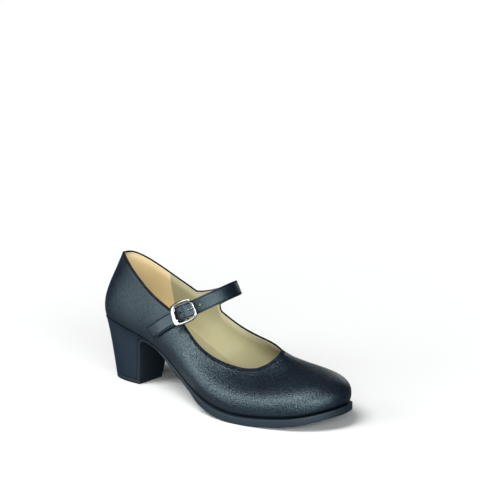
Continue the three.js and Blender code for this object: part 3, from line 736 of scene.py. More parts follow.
def heel_cover(material):
    """The covered heel: its side, and plain faces under the upper, behind the flap and below."""
    floor = TOP_PIECE + GAP
    lip = turn(WAIST_SOLE + GAP, -GAP, BREAST_FILLET + WAIST_SOLE + GAP, 40)[::-1]
    ahead = np.linspace(lip[-1, 0], FRONT + ARCH_END, 40)[1:]
    lip = np.concatenate([lip, np.stack([ahead, sole_top(ahead) + GAP], 1)])
    lip = lip[seat(lip[:, 0]) - lip[:, 1] > HEEL_LIP]
    front_x = np.concatenate([[breast(floor, WAIST_SOLE + GAP)], lip[:, 0], [lip[-1, 0]]])
    front_z = np.concatenate([[floor], lip[:, 1], [seat(lip[-1, 0])]])
    front_share = np.maximum.accumulate((front_z - floor) / (seat(front_x) - floor))
    near = np.array([0, 0.08, 0.2, 0.4, 0.7, 1.2])
    tall = HEEL_HEIGHT - floor
    low = near / tall
    high = 1 - np.concatenate([np.arange(5.2, 0.7, -0.16), [0.55, 0.4, 0.2, 0.08, 0]]) / tall
    shares = np.concatenate([low, np.linspace(low[-1], high[0], 40)[1:-1], high])
    ends = 1 - near / COVER_LENGTH
    round_shares = np.concatenate([np.linspace(0, ends[-1], 80)[:-1], ends[::-1]])
    rows = []
    for share in shares:
        halves = []
        for inner in (False, True):
            back = back_place(inner)
            u = np.linspace(back, TIP_PLACE, 900)
            z = lerp(floor, seat(outline(u)[:, 0]), share)
            excess = side(u, z)[:, 0] - np.interp(share, front_share, front_x)
            i = int(np.argmax(excess > 0))
            end = float(np.interp(0, excess[i - 1 : i + 1], u[i - 1 : i + 1]))
            u = lerp(back, end, round_shares)
            z = lerp(floor, seat(outline(u)[:, 0]), share)
            halves.append(np.concatenate([side(u, z), z[:, None]], 1))
        rows.append(np.concatenate([halves[0][::-1], halves[1][1:]]))
    grid = np.stack(rows)
    out = unit(np.cross(np.gradient(grid, axis=0), np.gradient(grid, axis=1)))
    from_end = 1 - np.concatenate([round_shares[::-1], round_shares[1:]])
    drop = collar_rounding(np.minimum(shares, 1 - shares)[:, None] * tall, COVER_EDGE)
    drop = drop + collar_rounding(from_end[None, :] * COVER_LENGTH, COVER_EDGE)
    grid = grid - out * drop[..., None]
    count, width = grid.shape[:2]
    faces = grid_faces(count, width)
    loop = [(0, j) for j in range(width // 2, -1, -1)]
    loop += [(i, 0) for i in range(1, count)]
    loop += [(count - 1, j) for j in range(1, width // 2 + 1)]
    number = [(i * width + j, i * width + width - 1 - j) for i, j in loop]
    for (a, b), (c, d) in zip(number, number[1:]):
        faces.append(tuple(dict.fromkeys((a, b, d, c))))
    faces = [face for face in faces if len(face) > 2]
    return add_mesh("heel_cover", grid.reshape(-1, 3), faces, [material], 40)


# Straps and buckle
def strap_line():
    """The strap's middle line from seam to seam: its curves, shares, lengths and buckle."""
    slope = math.radians(STRAP_SLOPE)
    forward = np.array([math.cos(slope), 0, math.sin(slope)])
    across = np.array([-math.sin(slope), 0, math.cos(slope)])

    def seam(places, level):
        points, widths = [], []
        for place, up in places:
            normal = wall_normal(place, up)
            points.append(wall(place, up) + normal * level)
            widths.append(unit(across - normal * (across @ normal)))
        return points, widths

    outer, outer_width = seam(OUTER_SEAM, OUTER_LEVEL)
    inner, inner_width = seam(INNER_SEAM, INNER_LEVEL)
    arch = []
    for i in range(1, ARCH_STEPS):
        turned = math.pi * i / ARCH_STEPS
        base = lerp(outer[-1], inner[0], 0.5 - 0.5 * math.cos(turned))
        arch.append(base + forward * STRAP_REACH * math.sin(turned))
    points = np.array(outer + arch + inner)
    widths = np.array(outer_width + [across] * len(arch) + inner_width)
    place = [smooth(points[:, k], False) for k in range(3)]
    width = [smooth(widths[:, k], False) for k in range(3)]
    shares = np.linspace(0, 1, 601)
    line = np.stack([curve(shares) for curve in place], -1)
    lengths = np.concatenate([[0], np.cumsum(np.linalg.norm(np.diff(line, axis=0), axis=1))])
    buckle = lengths[round(600 * (len(outer) - 1) / (len(points) - 1))]
    return place, width, shares, lengths, float(buckle)


LINE_PLACE, LINE_WIDTH, LINE_SHARES, LINE_LENGTHS, BUCKLE_PLACE = strap_line()
STRAP_END = float(LINE_LENGTHS[-1])
LEFT_BAR = BUCKLE_PLACE + BUCKLE_AHEAD
MIDDLE_BAR = LEFT_BAR + 0.5 * (BUCKLE_LENGTH - BROAD_BAR / 2 - BAR / 2)
RIGHT_BAR = LEFT_BAR + BUCKLE_LENGTH - BROAD_BAR / 2 - BAR / 2
FRAME_LEVEL = STRAP / 2 + 1.6 * GAP + BAR_THICKNESS / 2
LOOP_OUTER = CENTRE_BAR / 2 + GAP + LOOP_LEATHER
BUMP = FRAME_LEVEL - CENTRE_BAR_DROP + LOOP_OUTER + GAP + STRAP / 2
CENTRE_LEVEL = FRAME_LEVEL - CENTRE_BAR_DROP


def strap_point(length, width, level):
    """A point by length along the strap's line, distance across it and level off it."""
    length, width, level = np.broadcast_arrays(*(np.asarray(v, float) for v in (length, width, level)))
    share = np.interp(length, LINE_LENGTHS, LINE_SHARES)
    middle = np.stack([curve(share) for curve in LINE_PLACE], -1)
    ahead = np.stack([curve(np.minimum(share + 2e-3, 1)) for curve in LINE_PLACE], -1)
    behind = np.stack([curve(np.maximum(share - 2e-3, 0)) for curve in LINE_PLACE], -1)
    along = unit(ahead - behind)
    across = np.stack([curve(share) for curve in LINE_WIDTH], -1)
    across = unit(across - along * (across * along).sum(-1, keepdims=True))
    out = unit(np.cross(along, across))
    return middle + across * width[..., None] + out * level[..., None]


def strap_level(length):
    """Level of the strap at the buckle, over the centre bar and under the other two."""
    rise = smoothstep(length, LEFT_BAR + 1, MIDDLE_BAR - 0.5)
    fall = 1 - smoothstep(length, MIDDLE_BAR + 1.5, RIGHT_BAR - 0.5)
    return BUMP * rise * fall


def buckle_strap_level(length):
    """Level of the short strap, under the long one."""
    below = -(STRAP / 2 + GAP + BUCKLE_STRAP / 2)
    close = GAP * (1 - smoothstep(length, LEFT_BAR - EASE_LENGTH, LEFT_BAR))
    return below - close + LOOP_RISE * smoothstep(length, LEFT_BAR + 2, MIDDLE_BAR - 1)


def band_section(thickness):
    """Section of a strap: turned edges, a channel under each stitch row and a soft crown."""
    half = STRAP_WIDTH / 2
    edge = STRAP_EDGE
    inside = half - STRAP_SHOULDER
    near_edge = np.linspace(-half + edge, -inside, 12)
    flat = np.concatenate([near_edge, np.linspace(-inside, inside, 9)[1:-1], -near_edge[::-1]])
    row = half - STRAP_ROW
    dips = [np.exp(-(((flat + place) / STRAP_EDGE) ** 2)) for place in (-row, row)]
    crown = STRAP_CROWN * np.cos(np.pi * flat / STRAP_WIDTH)
    top = np.stack([flat, thickness / 2 - STRAP_CHANNEL * (dips[0] + dips[1]) + crown], -1)
    bends = arc(edge, 5, 90, 0)[1:]
    right = np.stack([half - edge + bends[:, 0], thickness / 2 - edge + bends[:, 1]], -1)
    low = np.stack([flat[::-1], np.full(len(flat), -thickness / 2)], -1)
    return np.concatenate([top, right, right[::-1] * (1, -1), low, -right, right[::-1] * (-1, 1)])


def painted_channel_shade(count):
    """Painted shade for each point of a band's rings: darkest under its stitch rows."""
    from_row = np.abs(np.abs(band_section(STRAP)[:, 0]) - (STRAP_WIDTH / 2 - STRAP_ROW))
    ring = np.exp(-((from_row / 0.32) ** 2))
    return np.tile(ring, count // len(ring))


def band(start, end, steps, thickness, level, slant=(0, 0), rounded=(False, False)):
    """Points and faces of a strap between two lengths, its ends slanted, and thinned where rounded."""
    section = band_section(thickness)
    shares = np.linspace(0, 1, steps)
    ease = 0.5 / max(end - start, 1)
    if rounded[0]:
        shares = np.concatenate([ease * np.array([0, 0.1, 0.3, 0.6]), np.linspace(ease, 1, steps)])
    if rounded[1]:
        shares = np.concatenate([shares[shares < 1 - ease], 1 - ease * np.array([1, 0.6, 0.3, 0.1, 0])])
    rings = []
    for share in shares:
        length = lerp(start, end, share)
        lean = math.tan(math.radians(lerp(slant[0], slant[1], share)))
        from_end = min(share if rounded[0] else 1, 1 - share if rounded[1] else 1)
        eased = math.sqrt(1 - (1 - min(from_end / ease, 1)) ** 2)
        w = section[:, 0]
        rings.append(strap_point(length - w * lean, w, level(length) + section[:, 1] * lerp(0.4, 1, eased)))
    return tube(np.stack(rings))


def tube(rings):
    """Points and faces of a closed tube through rings of points."""
    count, around = rings.shape[:2]
    faces = grid_faces(count, around, False, True)
    faces.append(tuple(range(around)))
    faces.append(tuple((count - 1) * around + k for k in range(around)))
    return rings.reshape(-1, 3), faces


def rod(points, radius, around=16, taper=None):
    """A round rod through points, its radius scaled along it."""
    points = np.asarray(points, float)
    along = unit(np.gradient(points, axis=0))
    across = unit(np.cross(np.array([0.31, 0.12, 0.94]), along))
    up = np.cross(along, across)
    scale = np.ones(len(points)) if taper is None else taper
    angles = (2 * np.pi * np.arange(around) / around)[None, :, None]
    ring = across[:, None] * np.cos(angles) + up[:, None] * np.sin(angles)
    return tube(points[:, None] + ring * radius * scale[:, None, None])


def join(parts):
    """Several bodies' points and faces as one list."""
    points, faces, total = [], [], 0
    for part_points, part_faces in parts:
        points.append(part_points)
        faces += [tuple(i + total for i in face) for face in part_faces]
        total += len(part_points)
    return np.concatenate(points), faces


def prong_line():
    """The prong's middle line, from the centre bar over the right bar."""
    over = FRAME_LEVEL + BAR_THICKNESS / 2 + GAP + PRONG / 2
    start = CENTRE_LEVEL + CENTRE_BAR / 2 + GAP + 0.5
    rows = (
        (MIDDLE_BAR, start),
        (MIDDLE_BAR + 3, start + 0.1),
        (RIGHT_BAR - 4, start + 0.15),
        (RIGHT_BAR - 1.5, over - 0.35),
        (RIGHT_BAR, over),
        (RIGHT_BAR + 1.5, over - 0.1),
    )
    lengths = smooth([row[0] for row in rows], False)
    levels = smooth([row[1] for row in rows], False)
    share = np.linspace(0, 1, 40)
    return strap_point(lengths(share), 0, levels(share))


def cut(obj, parts):
    """Takes closed bodies away from an object, one after another."""
    for points, faces in parts:
        tool = add_mesh(obj.name + "_cut", points, faces, [])
        modifier = obj.modifiers.new("cut", "BOOLEAN")
        modifier.solver = "EXACT"
        modifier.operation = "DIFFERENCE"
        modifier.object = tool
        settle(obj)
        bpy.data.objects.remove(tool)


def settle(obj):
    """Turns an object's modifiers into plain mesh."""
    made = bpy.data.meshes.new_from_object(obj.evaluated_get(bpy.context.evaluated_depsgraph_get()))
    obj.modifiers.clear()
    obj.data = made
    made.name = obj.name


def strap_holes():
    """Places along the strap of its two spare holes."""
    pierced = RIGHT_BAR - PIERCED_BEHIND
    return [pierced - HOLE_SPACING, pierced + HOLE_SPACING]


def instep_strap(material):
    """The strap over the instep, with its spare holes and the one that is in use."""
    start = LEFT_BAR - BROAD_BAR / 2 + TIP_COVER
    points, faces = band(start, STRAP_END, 190, STRAP, strap_level, rounded=(True, True))
    strap = add_mesh("strap_leather", points, faces, [material], 40)
    # Painted shade under the stitch rows
    mark(strap, "turned_edge_and_painted_channel_shade", painted_channel_shade(len(points)))
    holes = []
    for length in strap_holes():
        level = strap_level(length)
        ends = [strap_point(length, 0, level - 2), strap_point(length, 0, level + 2)]
        holes.append(rod(ends, STRAP_HOLE / 2, 24))
    cut(strap, holes + [rod(prong_line(), PRONG / 2 + PRONG_CLEARANCE, 14)])
    strap.data.set_sharp_from_angle(angle=math.radians(40))
    return strap


def round_centre_bar(corners, angles):
    """Rings of points round the centre bar, through corners of radius and distance across."""
    radius, across = np.array(corners).T
    turned = np.asarray(angles)[:, None]
    return strap_point(
        MIDDLE_BAR + radius * np.cos(turned), across, CENTRE_LEVEL + radius * np.sin(turned)
    )


def buckle_strap(material):
    """The sewn strap and the loop of thinner leather round the centre bar, slit for the prong."""
    start = STRAP_WIDTH / 2 * math.tan(math.radians(END_SLANT))
    slant, rounded = (END_SLANT, 0), (True, False)
    flat = band(start, MIDDLE_BAR + GAP, 90, BUCKLE_STRAP, buckle_strap_level, slant, rounded)
    # Painted shade under the stitch rows, and along the row across the sewn end
    marks = painted_channel_shade(len(flat[0]))
    ring = len(band_section(BUCKLE_STRAP))
    for i in range(END_RINGS):
        span = slice(i * ring, (i + 1) * ring)
        from_end = np.linalg.norm((flat[0][span] - flat[0][:ring]).mean(0))
        marks[span] = np.maximum(marks[span], math.exp(-(((from_end - STRAP_ROW) / 0.6) ** 2)))
    inner, slit = CENTRE_BAR / 2 + 0.12, PRONG / 2 + 2 * GAP
    loops = []
    for low, high in ((-STRAP_WIDTH / 2, -slit), (slit, STRAP_WIDTH / 2)):
        corners = [(LOOP_OUTER, low), (LOOP_OUTER, high), (inner, high), (inner, low)]
        loops.append(tube(round_centre_bar(corners, np.radians(np.linspace(75, 290, 30)))))
    points, faces = join([flat] + loops)
    strap = add_mesh("buckle_strap_leather", points, faces, [material], 40)
    mark(strap, "turned_edge_and_painted_channel_shade", np.concatenate([marks, np.zeros(len(points) - len(marks))]))
    return strap


def buckle_frame(material):
    """A rounded oblong frame, one bar broad, with a lower centre bar."""
    half_width = BUCKLE_WIDTH / 2 - BAR / 2
    half_length = (RIGHT_BAR - LEFT_BAR) / 2
    middle = (LEFT_BAR + RIGHT_BAR) / 2
    turned = 2 * np.pi * np.arange(28) / 28
    rings = []
    for angle in 2 * np.pi * np.arange(200) / 200:
        c, s = math.cos(angle), math.sin(angle)
        bend_c = math.copysign(abs(c) ** (2 / FRAME_SQUARENESS), c)
        bend_s = math.copysign(abs(s) ** (2 / FRAME_SQUARENESS), s)
        broad = float(smoothstep(-c, 0.45, 0.8))
        outward = unit(np.array([bend_c**3 / half_length, bend_s**3 / half_width]))
        swell = np.sign(np.cos(turned)) * np.abs(np.cos(turned)) ** lerp(1, 0.7, broad)
        swell = swell * lerp(BAR, BROAD_BAR, broad) / 2
        along = middle + half_length * bend_c + outward[0] * swell
        across = half_width * bend_s + outward[1] * swell
        rings.append(strap_point(along, across, FRAME_LEVEL + BAR_THICKNESS / 2 * np.sin(turned)))
    loop = (np.concatenate(rings), grid_faces(200, 28, True, True))
    ends = strap_point(MIDDLE_BAR, np.linspace(-1, 1, 9) * half_width, CENTRE_LEVEL)
    points, faces = join([loop, rod(ends, CENTRE_BAR / 2, 20)])
    return add_mesh("buckle_metal", points, faces, [material], 60)


def buckle_prong(material):
    """The prong, bent over the right bar, and its collar on the centre bar."""
    taper = np.concatenate([np.ones(32), np.sqrt(1 - np.linspace(0, 0.96, 8) ** 2)])
    taper[:2] = (0.5, 0.85)
    half, inner, edge = PRONG / 2, CENTRE_BAR / 2 + 0.1, PRONG_COLLAR_EDGE
    outer = inner + PRONG_COLLAR
    corners = [
        (outer, edge - half), (outer, half - edge), (outer - edge, half),
        (inner, half), (inner, -half), (outer - edge, -half),
    ]
    grid = round_centre_bar(corners, 2 * np.pi * np.arange(32) / 32)
    collar = (grid.reshape(-1, 3), grid_faces(32, len(corners), True, True))
    points, faces = join([rod(prong_line(), half, 18, taper), collar])
    return add_mesh("prong_metal", points, faces, [material], 60)


# Helpers for nodes
def feed(tree, socket, value):
    """Links a socket from an output, or sets it to a value or to an opaque colour."""
    if isinstance(value, bpy.types.NodeSocket):
        tree.links.new(value, socket)
    elif socket.type == "RGBA":
        socket.default_value = (*value, 1)
    else:
        socket.default_value = value


def node(tree, kind, inputs=None, **settings):
    """A node with its settings made, and its inputs fed by name or number."""
    made = tree.nodes.new(kind)
    for name, value in settings.items():
        setattr(made, name, value)
    for name, value in (inputs or {}).items():
        feed(tree, made.inputs[name], value)
    return made


def new_group(name, kind, inputs, outputs):
    """A node group with its sockets, what it is given and what it puts out."""
    group = bpy.data.node_groups.new(name, kind)
    for label, sort, value in inputs:
        socket = group.interface.new_socket(label, in_out="INPUT", socket_type="NodeSocket" + sort)
        if value is not None:
            socket.default_value = value
    for label, sort in outputs:
        group.interface.new_socket(label, in_out="OUTPUT", socket_type="NodeSocket" + sort)
    return group, node(group, "NodeGroupInput").outputs, node(group, "NodeGroupOutput").inputs


def operate(tree, operation, *values, **settings):
    """The result of a sum done with values or outputs."""
    return node(tree, "ShaderNodeMath", dict(enumerate(values)), operation=operation, **settings).outputs[0]


def spread(tree, value, low, high, source=(0.3, 0.7)):
    """A value's source range stretched to another one, and held at its ends."""
    ends = {"From Min": source[0], "From Max": source[1], "To Min": low, "To Max": high}
    return node(tree, "ShaderNodeMapRange", {"Value": value, **ends}).outputs["Result"]


def two_tones(tree, mask, first, second):
    """The first colour where the mask is 0, the second where it is 1."""
    sides = {"A": first, "B": second, "Factor": mask}
    return node(tree, "ShaderNodeMix", sides, data_type="RGBA").outputs["Result"]


def relief(tree, height, depth, under=None):
    """The normal of a bump of a real depth in metres, over another one where given."""
    bump = node(tree, "ShaderNodeBump", {"Distance": depth, "Height": height})
    if under is not None:
        feed(tree, bump.inputs["Normal"], under)
    return bump.outputs["Normal"]


# Stitches
def stitch_tree():
    """Stitches along lines: one short bead of thread for each, laid along its line."""
    given = (
        ("Geometry", "Geometry", None), ("Pitch", "Float", STITCH_PITCH * 0.001),
        ("Length", "Float", STITCH_LENGTH * 0.001), ("Thickness", "Float", THREAD * 0.001),
        ("Thread", "Material", None),
    )
    tree, start, end = new_group("Stitch rows", "GeometryNodeTree", given, (("Geometry", "Geometry"),))
    curve = node(tree, "GeometryNodeMeshToCurve", {"Mesh": start["Geometry"]}).outputs["Curve"]
    spacing = {"Curve": curve, "Length": start["Pitch"]}
    spaced = node(tree, "GeometryNodeResampleCurve", spacing, mode="LENGTH").outputs["Curve"]
    ball = node(tree, "GeometryNodeMeshUVSphere", {"Segments": 6, "Rings": 5, "Radius": 0.5})
    thickness = start["Thickness"]
    size = node(tree, "ShaderNodeCombineXYZ", {"X": start["Length"], "Y": thickness, "Z": thickness})
    sizing = {"Geometry": ball.outputs["Mesh"], "Scale": size.outputs["Vector"]}
    bead = node(tree, "GeometryNodeTransform", sizing).outputs["Geometry"]
    tangent = {"Vector": node(tree, "GeometryNodeInputTangent").outputs["Tangent"]}
    turned = node(tree, "FunctionNodeAlignRotationToVector", tangent, axis="X").outputs["Rotation"]
    placing = {"Points": spaced, "Instance": bead, "Rotation": turned}
    put = node(tree, "GeometryNodeInstanceOnPoints", placing).outputs["Instances"]
    real = node(tree, "GeometryNodeRealizeInstances", {"Geometry": put}).outputs["Geometry"]
    soft = node(tree, "GeometryNodeSetShadeSmooth", {"Geometry": real}).outputs["Geometry"]
    paint = node(tree, "GeometryNodeSetMaterial", {"Geometry": soft, "Material": start["Thread"]})
    feed(tree, end["Geometry"], paint.outputs["Geometry"])
    return tree


def stitches(name, tree, rows, material, length, thickness):
    """Stitch rows along lines of points, as plain mesh."""
    edges, total = [], 0
    for row, closed in rows:
        count = len(row)
        edges += [(total + i, total + (i + 1) % count) for i in range(count if closed else count - 1)]
        total += count
    mesh = bpy.data.meshes.new(name)
    mesh.from_pydata(metres(np.concatenate([row for row, closed in rows])).tolist(), edges, [])
    obj = new_object(name, mesh)
    modifier = obj.modifiers.new("stitches", "NODES")
    modifier.node_group = tree
    values = {"Pitch": STITCH_PITCH, "Length": length, "Thickness": thickness}
    for item in tree.interface.items_tree:
        if item.item_type == "SOCKET" and item.name in values:
            modifier[item.identifier] = values[item.name] * 0.001
        if item.name == "Thread":
            modifier[item.identifier] = material
    settle(obj)
    return obj


def collar_rows():
    """Outer and inner stitch row under the collar."""
    u = places_round()
    return on_wall(u, COLLAR_ROW, 0.1), on_wall(u, COLLAR_ROW, WALL + 0.02)


def strap_rows():
    """Rows along both edges of the instep strap, and across its sewn end."""
    half = STRAP_WIDTH / 2 - STRAP_ROW
    lengths = np.linspace(LEFT_BAR + 2.5, STRAP_END - STRAP_END_ROW, 240)
    rows = []
    for width in (-half, half):
        for sign in (1, -1):
            sink = ROW_SINK if sign > 0 else ROW_SINK_BELOW
            level = strap_level(lengths) + sign * (STRAP / 2 - sink)
            rows.append((strap_point(lengths, width, level), False))
    across = np.linspace(-half, half, 20)
    rows.append((strap_point(STRAP_END - STRAP_END_ROW, across, STRAP / 2 + END_ROW_RISE), False))
    return rows


def buckle_strap_rows():
    """Rows along both edges of the short strap, and across its sewn end."""
    half = STRAP_WIDTH / 2 - STRAP_ROW
    lean = math.tan(math.radians(END_SLANT))
    top = BUCKLE_STRAP / 2 - 0.04
    first = STRAP_WIDTH / 2 * lean + STRAP_ROW / math.cos(math.radians(END_SLANT))
    rows = []
    for width in (-half, half):
        lengths = np.linspace(first - width * lean, MIDDLE_BAR - 3.5, 60)
        rows.append((strap_point(lengths, width, buckle_strap_level(lengths) + top), False))
    across = np.linspace(-half, half, 20)
    lengths = first - across * lean
    rows.append((strap_point(lengths, across, buckle_strap_level(lengths) + top + 0.06), False))
    return rows


def lining_rows():
    """The seam that joins the lining's panels, on both sides."""
    t = np.linspace(0.2, 0.97, 60)
    rows = []
    for sign in (-1, 1):
        u = seam_place(t, sign) - sign * LINING_ROW
        rows.append((on_wall(u, (1 - t) * wall_height(u), WALL + 0.08), False))
    return rows


# Materials
def new_material(name):
    """A material and its nodes."""
    material = bpy.data.materials.new(name)
    material.use_nodes = True
    return material, material.node_tree


def finish(tree, looks):
    """Feeds the surface of a material."""
    for name, value in looks.items():
        feed(tree, tree.nodes["Principled BSDF"].inputs[name], value)


def grain_group():
    """Leather grain on object coordinates: small rounded pebbles over fine noise, and slow patches."""
    outputs = (("Height", "Float"), ("Patches", "Float"))
    given = (("Pebble size", "Float", 0.0009),)
    group, start, end = new_group("Leather grain", "ShaderNodeTree", given, outputs)
    place = node(group, "ShaderNodeTexCoord").outputs["Object"]
    per_metre = operate(group, "DIVIDE", 1, start["Pebble size"])
    cells = {"Vector": place, "Scale": per_metre, "Smoothness": 0.35, "Randomness": 0.9}
    pebbles = node(group, "ShaderNodeTexVoronoi", cells, feature="SMOOTH_F1").outputs["Distance"]
    finer = operate(group, "MULTIPLY", per_metre, 1.7)
    fine = node(group, "ShaderNodeTexNoise", {"Vector": place, "Scale": finer, "Detail": 3}).outputs["Fac"]
    rounded = spread(group, pebbles, 1, 0, (0.15, 0.75))
    patches = node(group, "ShaderNodeTexNoise", {"Vector": place, "Scale": 45, "Detail": 2}).outputs["Fac"]
    feed(group, end["Height"], operate(group, "MULTIPLY_ADD", fine, 0.8, rounded))
    feed(group, end["Patches"], patches)
    return group


def folds_group():
    """Slow unevenness of leather drawn over a last."""
    outputs = (("Height", "Float"),)
    group, start, end = new_group("Slow folds", "ShaderNodeTree", (("Size", "Float", 0.02),), outputs)
    place = node(group, "ShaderNodeTexCoord").outputs["Object"]
    per_metre = operate(group, "DIVIDE", 1, start["Size"])
    waves = node(group, "ShaderNodeTexNoise", {"Vector": place, "Scale": per_metre, "Detail": 1.5})
    feed(group, end["Height"], waves.outputs["Fac"])
    return group


def pebbled(tree, grain, size):
    """The grain's height and patches at a size of pebble."""
    return node(tree, "ShaderNodeGroup", {"Pebble size": size}, node_tree=grain).outputs


def folded(tree, folds, size):
    """The height of slow folds of a size."""
    return node(tree, "ShaderNodeGroup", {"Size": size}, node_tree=folds).outputs["Height"]


def black_leather(name, grain, folds, pebble, depth, gloss, sheen, tone=1.0):
    """Black leather with fine grain and a soft bluish gloss, duller and darker along its turned edges, with
    painted shade in its stitch channels.
    """
    material, tree = new_material(name)
    surface = pebbled(tree, grain, pebble)
    dark, light = (tuple(tone * v for v in black) for black in LEATHER_BLACKS)
    # Turned edges are duller and darker; stitch channels get painted shade, with less specular
    edge = node(tree, "ShaderNodeAttribute", attribute_name="turned_edge_and_painted_channel_shade").outputs["Fac"]
    rough = spread(tree, surface["Patches"], gloss - 0.03, gloss + 0.05)
    shine = spread(tree, surface["Height"], *sheen, (0.5, 1.2))
    waves = relief(tree, folded(tree, folds, FOLD_SIZE), FOLD_DEPTH)
    finish(tree, {
        "Base Color": two_tones(tree, surface["Patches"], dark, light),
        "Roughness": operate(tree, "MULTIPLY_ADD", edge, EDGE_DULLNESS, rough),
        "Specular IOR Level": operate(tree, "MULTIPLY_ADD", edge, -EDGE_DARKNESS_AND_CHANNEL_SHADE, shine, use_clamp=True),
        "Specular Tint": LEATHER_TINT,
        "Normal": relief(tree, surface["Height"], depth, waves),
    })
    return material


def beige_leather(name, grain, pebble, roughness, dark, light, edge=None):
    """Matt beige leather, in a paler colour along the collar where one is given."""
    material, tree = new_material(name)
    surface = pebbled(tree, grain, pebble)
    color = two_tones(tree, spread(tree, surface["Patches"], 0, 1), dark, light)
    if edge:
        below = node(tree, "ShaderNodeAttribute", attribute_name="from_collar").outputs["Fac"]
        color = two_tones(tree, spread(tree, below, 1, 0, (2.5, 7.5)), color, edge)
    normal = relief(tree, surface["Height"], MATT_GRAIN_DEPTH)
    finish(tree, {"Base Color": color, "Roughness": roughness, "Specular IOR Level": 0.3, "Normal": normal})
    return material


def moulded_rubber(name, folds, tone, gloss):
    """Satin moulded sole: fine mould texture and faint rub marks."""
    material, tree = new_material(name)
    place = node(tree, "ShaderNodeTexCoord").outputs["Object"]
    fine = node(tree, "ShaderNodeTexNoise", {"Vector": place, "Scale": 1500, "Detail": 2}).outputs["Fac"]
    rubbed = folded(tree, folds, 0.03)
    dark = tuple(0.85 * v for v in tone)
    finish(tree, {
        "Base Color": two_tones(tree, spread(tree, rubbed, 0, 1), dark, tone),
        "Roughness": spread(tree, rubbed, gloss - 0.04, gloss + 0.06),
        "Normal": relief(tree, fine, 0.00002),
        "Specular Tint": RUBBER_TINT,
        "Specular IOR Level": 0.33,
    })
    return material


def nickel(folds):
    """Polished plate, slightly uneven."""
    material, tree = new_material("Nickel plate")
    uneven = folded(tree, folds, 0.004)
    finish(tree, {
        "Base Color": two_tones(tree, uneven, (0.24, 0.24, 0.237), (0.33, 0.33, 0.326)),
        "Metallic": 1,
        "Roughness": spread(tree, uneven, 0.06, 0.14),
        "Normal": relief(tree, uneven, 0.00004),
    })
    return material


def thread(name, color, sheen=0.3):
    """Matt thread, its colour and relief broken up as by twist."""
    material, tree = new_material(name)
    place = node(tree, "ShaderNodeTexCoord").outputs["Object"]
    twist = node(tree, "ShaderNodeTexNoise", {"Vector": place, "Scale": 4000}).outputs["Fac"]
    dark = tuple(0.6 * v for v in color)
    normal = relief(tree, twist, 0.00004)
    color = two_tones(tree, twist, dark, color)
    finish(tree, {"Base Color": color, "Roughness": 0.6, "Specular IOR Level": sheen, "Normal": normal})
    return material


# Floor, lights and camera
def backdrop():
    """A pale floor, painted darker near the shoe to even out the lamps' light. Other rays than the camera's
    see a painted reflection: dark, with painted light towards the two large boxes.
    """
    material, tree = new_material("Pale floor with painted reflections")

    def vector(operation, output, *values):
        done = node(tree, "ShaderNodeVectorMath", dict(enumerate(values)), operation=operation)
        return done.outputs[output]

    place = node(tree, "ShaderNodeTexCoord").outputs["Object"]
    from_middle = vector("SUBTRACT", "Vector", place, FLOOR_MIDDLE)
    outward = vector("NORMALIZE", "Vector", from_middle)
    away = vector("LENGTH", "Value", from_middle)
    lobes = []
    for azimuth in (LEFT_BOX_AZIMUTH, RIGHT_BOX_AZIMUTH):
        towards = vector("DOT_PRODUCT", "Value", outward, direction(azimuth, 0))
        lobes.append(spread(tree, towards, 0, 1, (0.72, 0.97)))
    off_shoe = spread(tree, away, 0.25, 1, (0.09, 0.3))
    painted_light_lobes = operate(tree, "MULTIPLY", operate(tree, "MAXIMUM", *lobes), off_shoe)
    # Painted reflection: what the shoe mirrors of the floor is dark, with painted light towards the boxes
    painted_reflection = two_tones(tree, painted_light_lobes, PAINTED_REFLECTION_DARK, PAINTED_REFLECTION_LIGHT)
    # Painted shade: the floor as the camera sees it is darker near the shoe, where the lamps light it most
    distant = spread(tree, away, 0, 1, (0.1, 1.6))
    pale = two_tones(tree, distant, FLOOR_NEAR, FLOOR_FAR)
    seen = node(tree, "ShaderNodeLightPath").outputs["Is Camera Ray"]
    shown = two_tones(tree, seen, painted_reflection, pale)
    finish(tree, {"Base Color": shown, "Roughness": 0.9, "Specular IOR Level": 0})
    mesh = bpy.data.meshes.new("floor")
    corners = [(x * FLOOR_HALF, y * FLOOR_HALF, 0) for x, y in ((-1, -1), (1, -1), (1, 1), (-1, 1))]
    mesh.from_pydata(corners, [], [(0, 1, 2, 3)])
    mesh.materials.append(material)
    floor = new_object("floor", mesh)


def direction(azimuth, elevation):
    """Unit vector from the shoe; azimuth 0 is its outer side, along -Y, and 90 its toe."""
    a, e = math.radians(azimuth), math.radians(elevation)
    return Vector((math.sin(a) * math.cos(e), -math.cos(a) * math.cos(e), math.sin(e)))


def lamp(name, kind, azimuth, elevation, power, distance=0.0):
    """A lamp that shines on the shoe from an angle round it."""
    data = bpy.data.lights.new(name, kind)
    data.energy = power
    way = direction(azimuth, elevation)
    obj = new_object(name, data)
    obj.location = Vector(LIGHT_AIM) + way * distance
    obj.rotation_mode = "QUATERNION"
    obj.rotation_quaternion = (-way).to_track_quat("-Z", "Y")
    return data


def lights():
    """Two tall boxes, a small one behind, a broad soft light from above, and a dim room."""
    world = bpy.data.worlds.new("Room")
    world.use_nodes = True
    room = world.node_tree.nodes["Background"].inputs
    room["Color"].default_value = (*ROOM_COLOR, 1)
    room["Strength"].default_value = ROOM_STRENGTH
    bpy.context.scene.world = world
    for name, azimuth, elevation, distance, size, power in SOFT_BOXES:
        box = lamp(name, "AREA", azimuth, elevation, power, distance)
        box.shape = "RECTANGLE"
        box.size, box.size_y = size
        box.color = LIGHT_COLOR
    sun = lamp("overhead", "SUN", SUN_AZIMUTH, SUN_ELEVATION, SUN_POWER)
    sun.angle = math.radians(SUN_ANGLE)


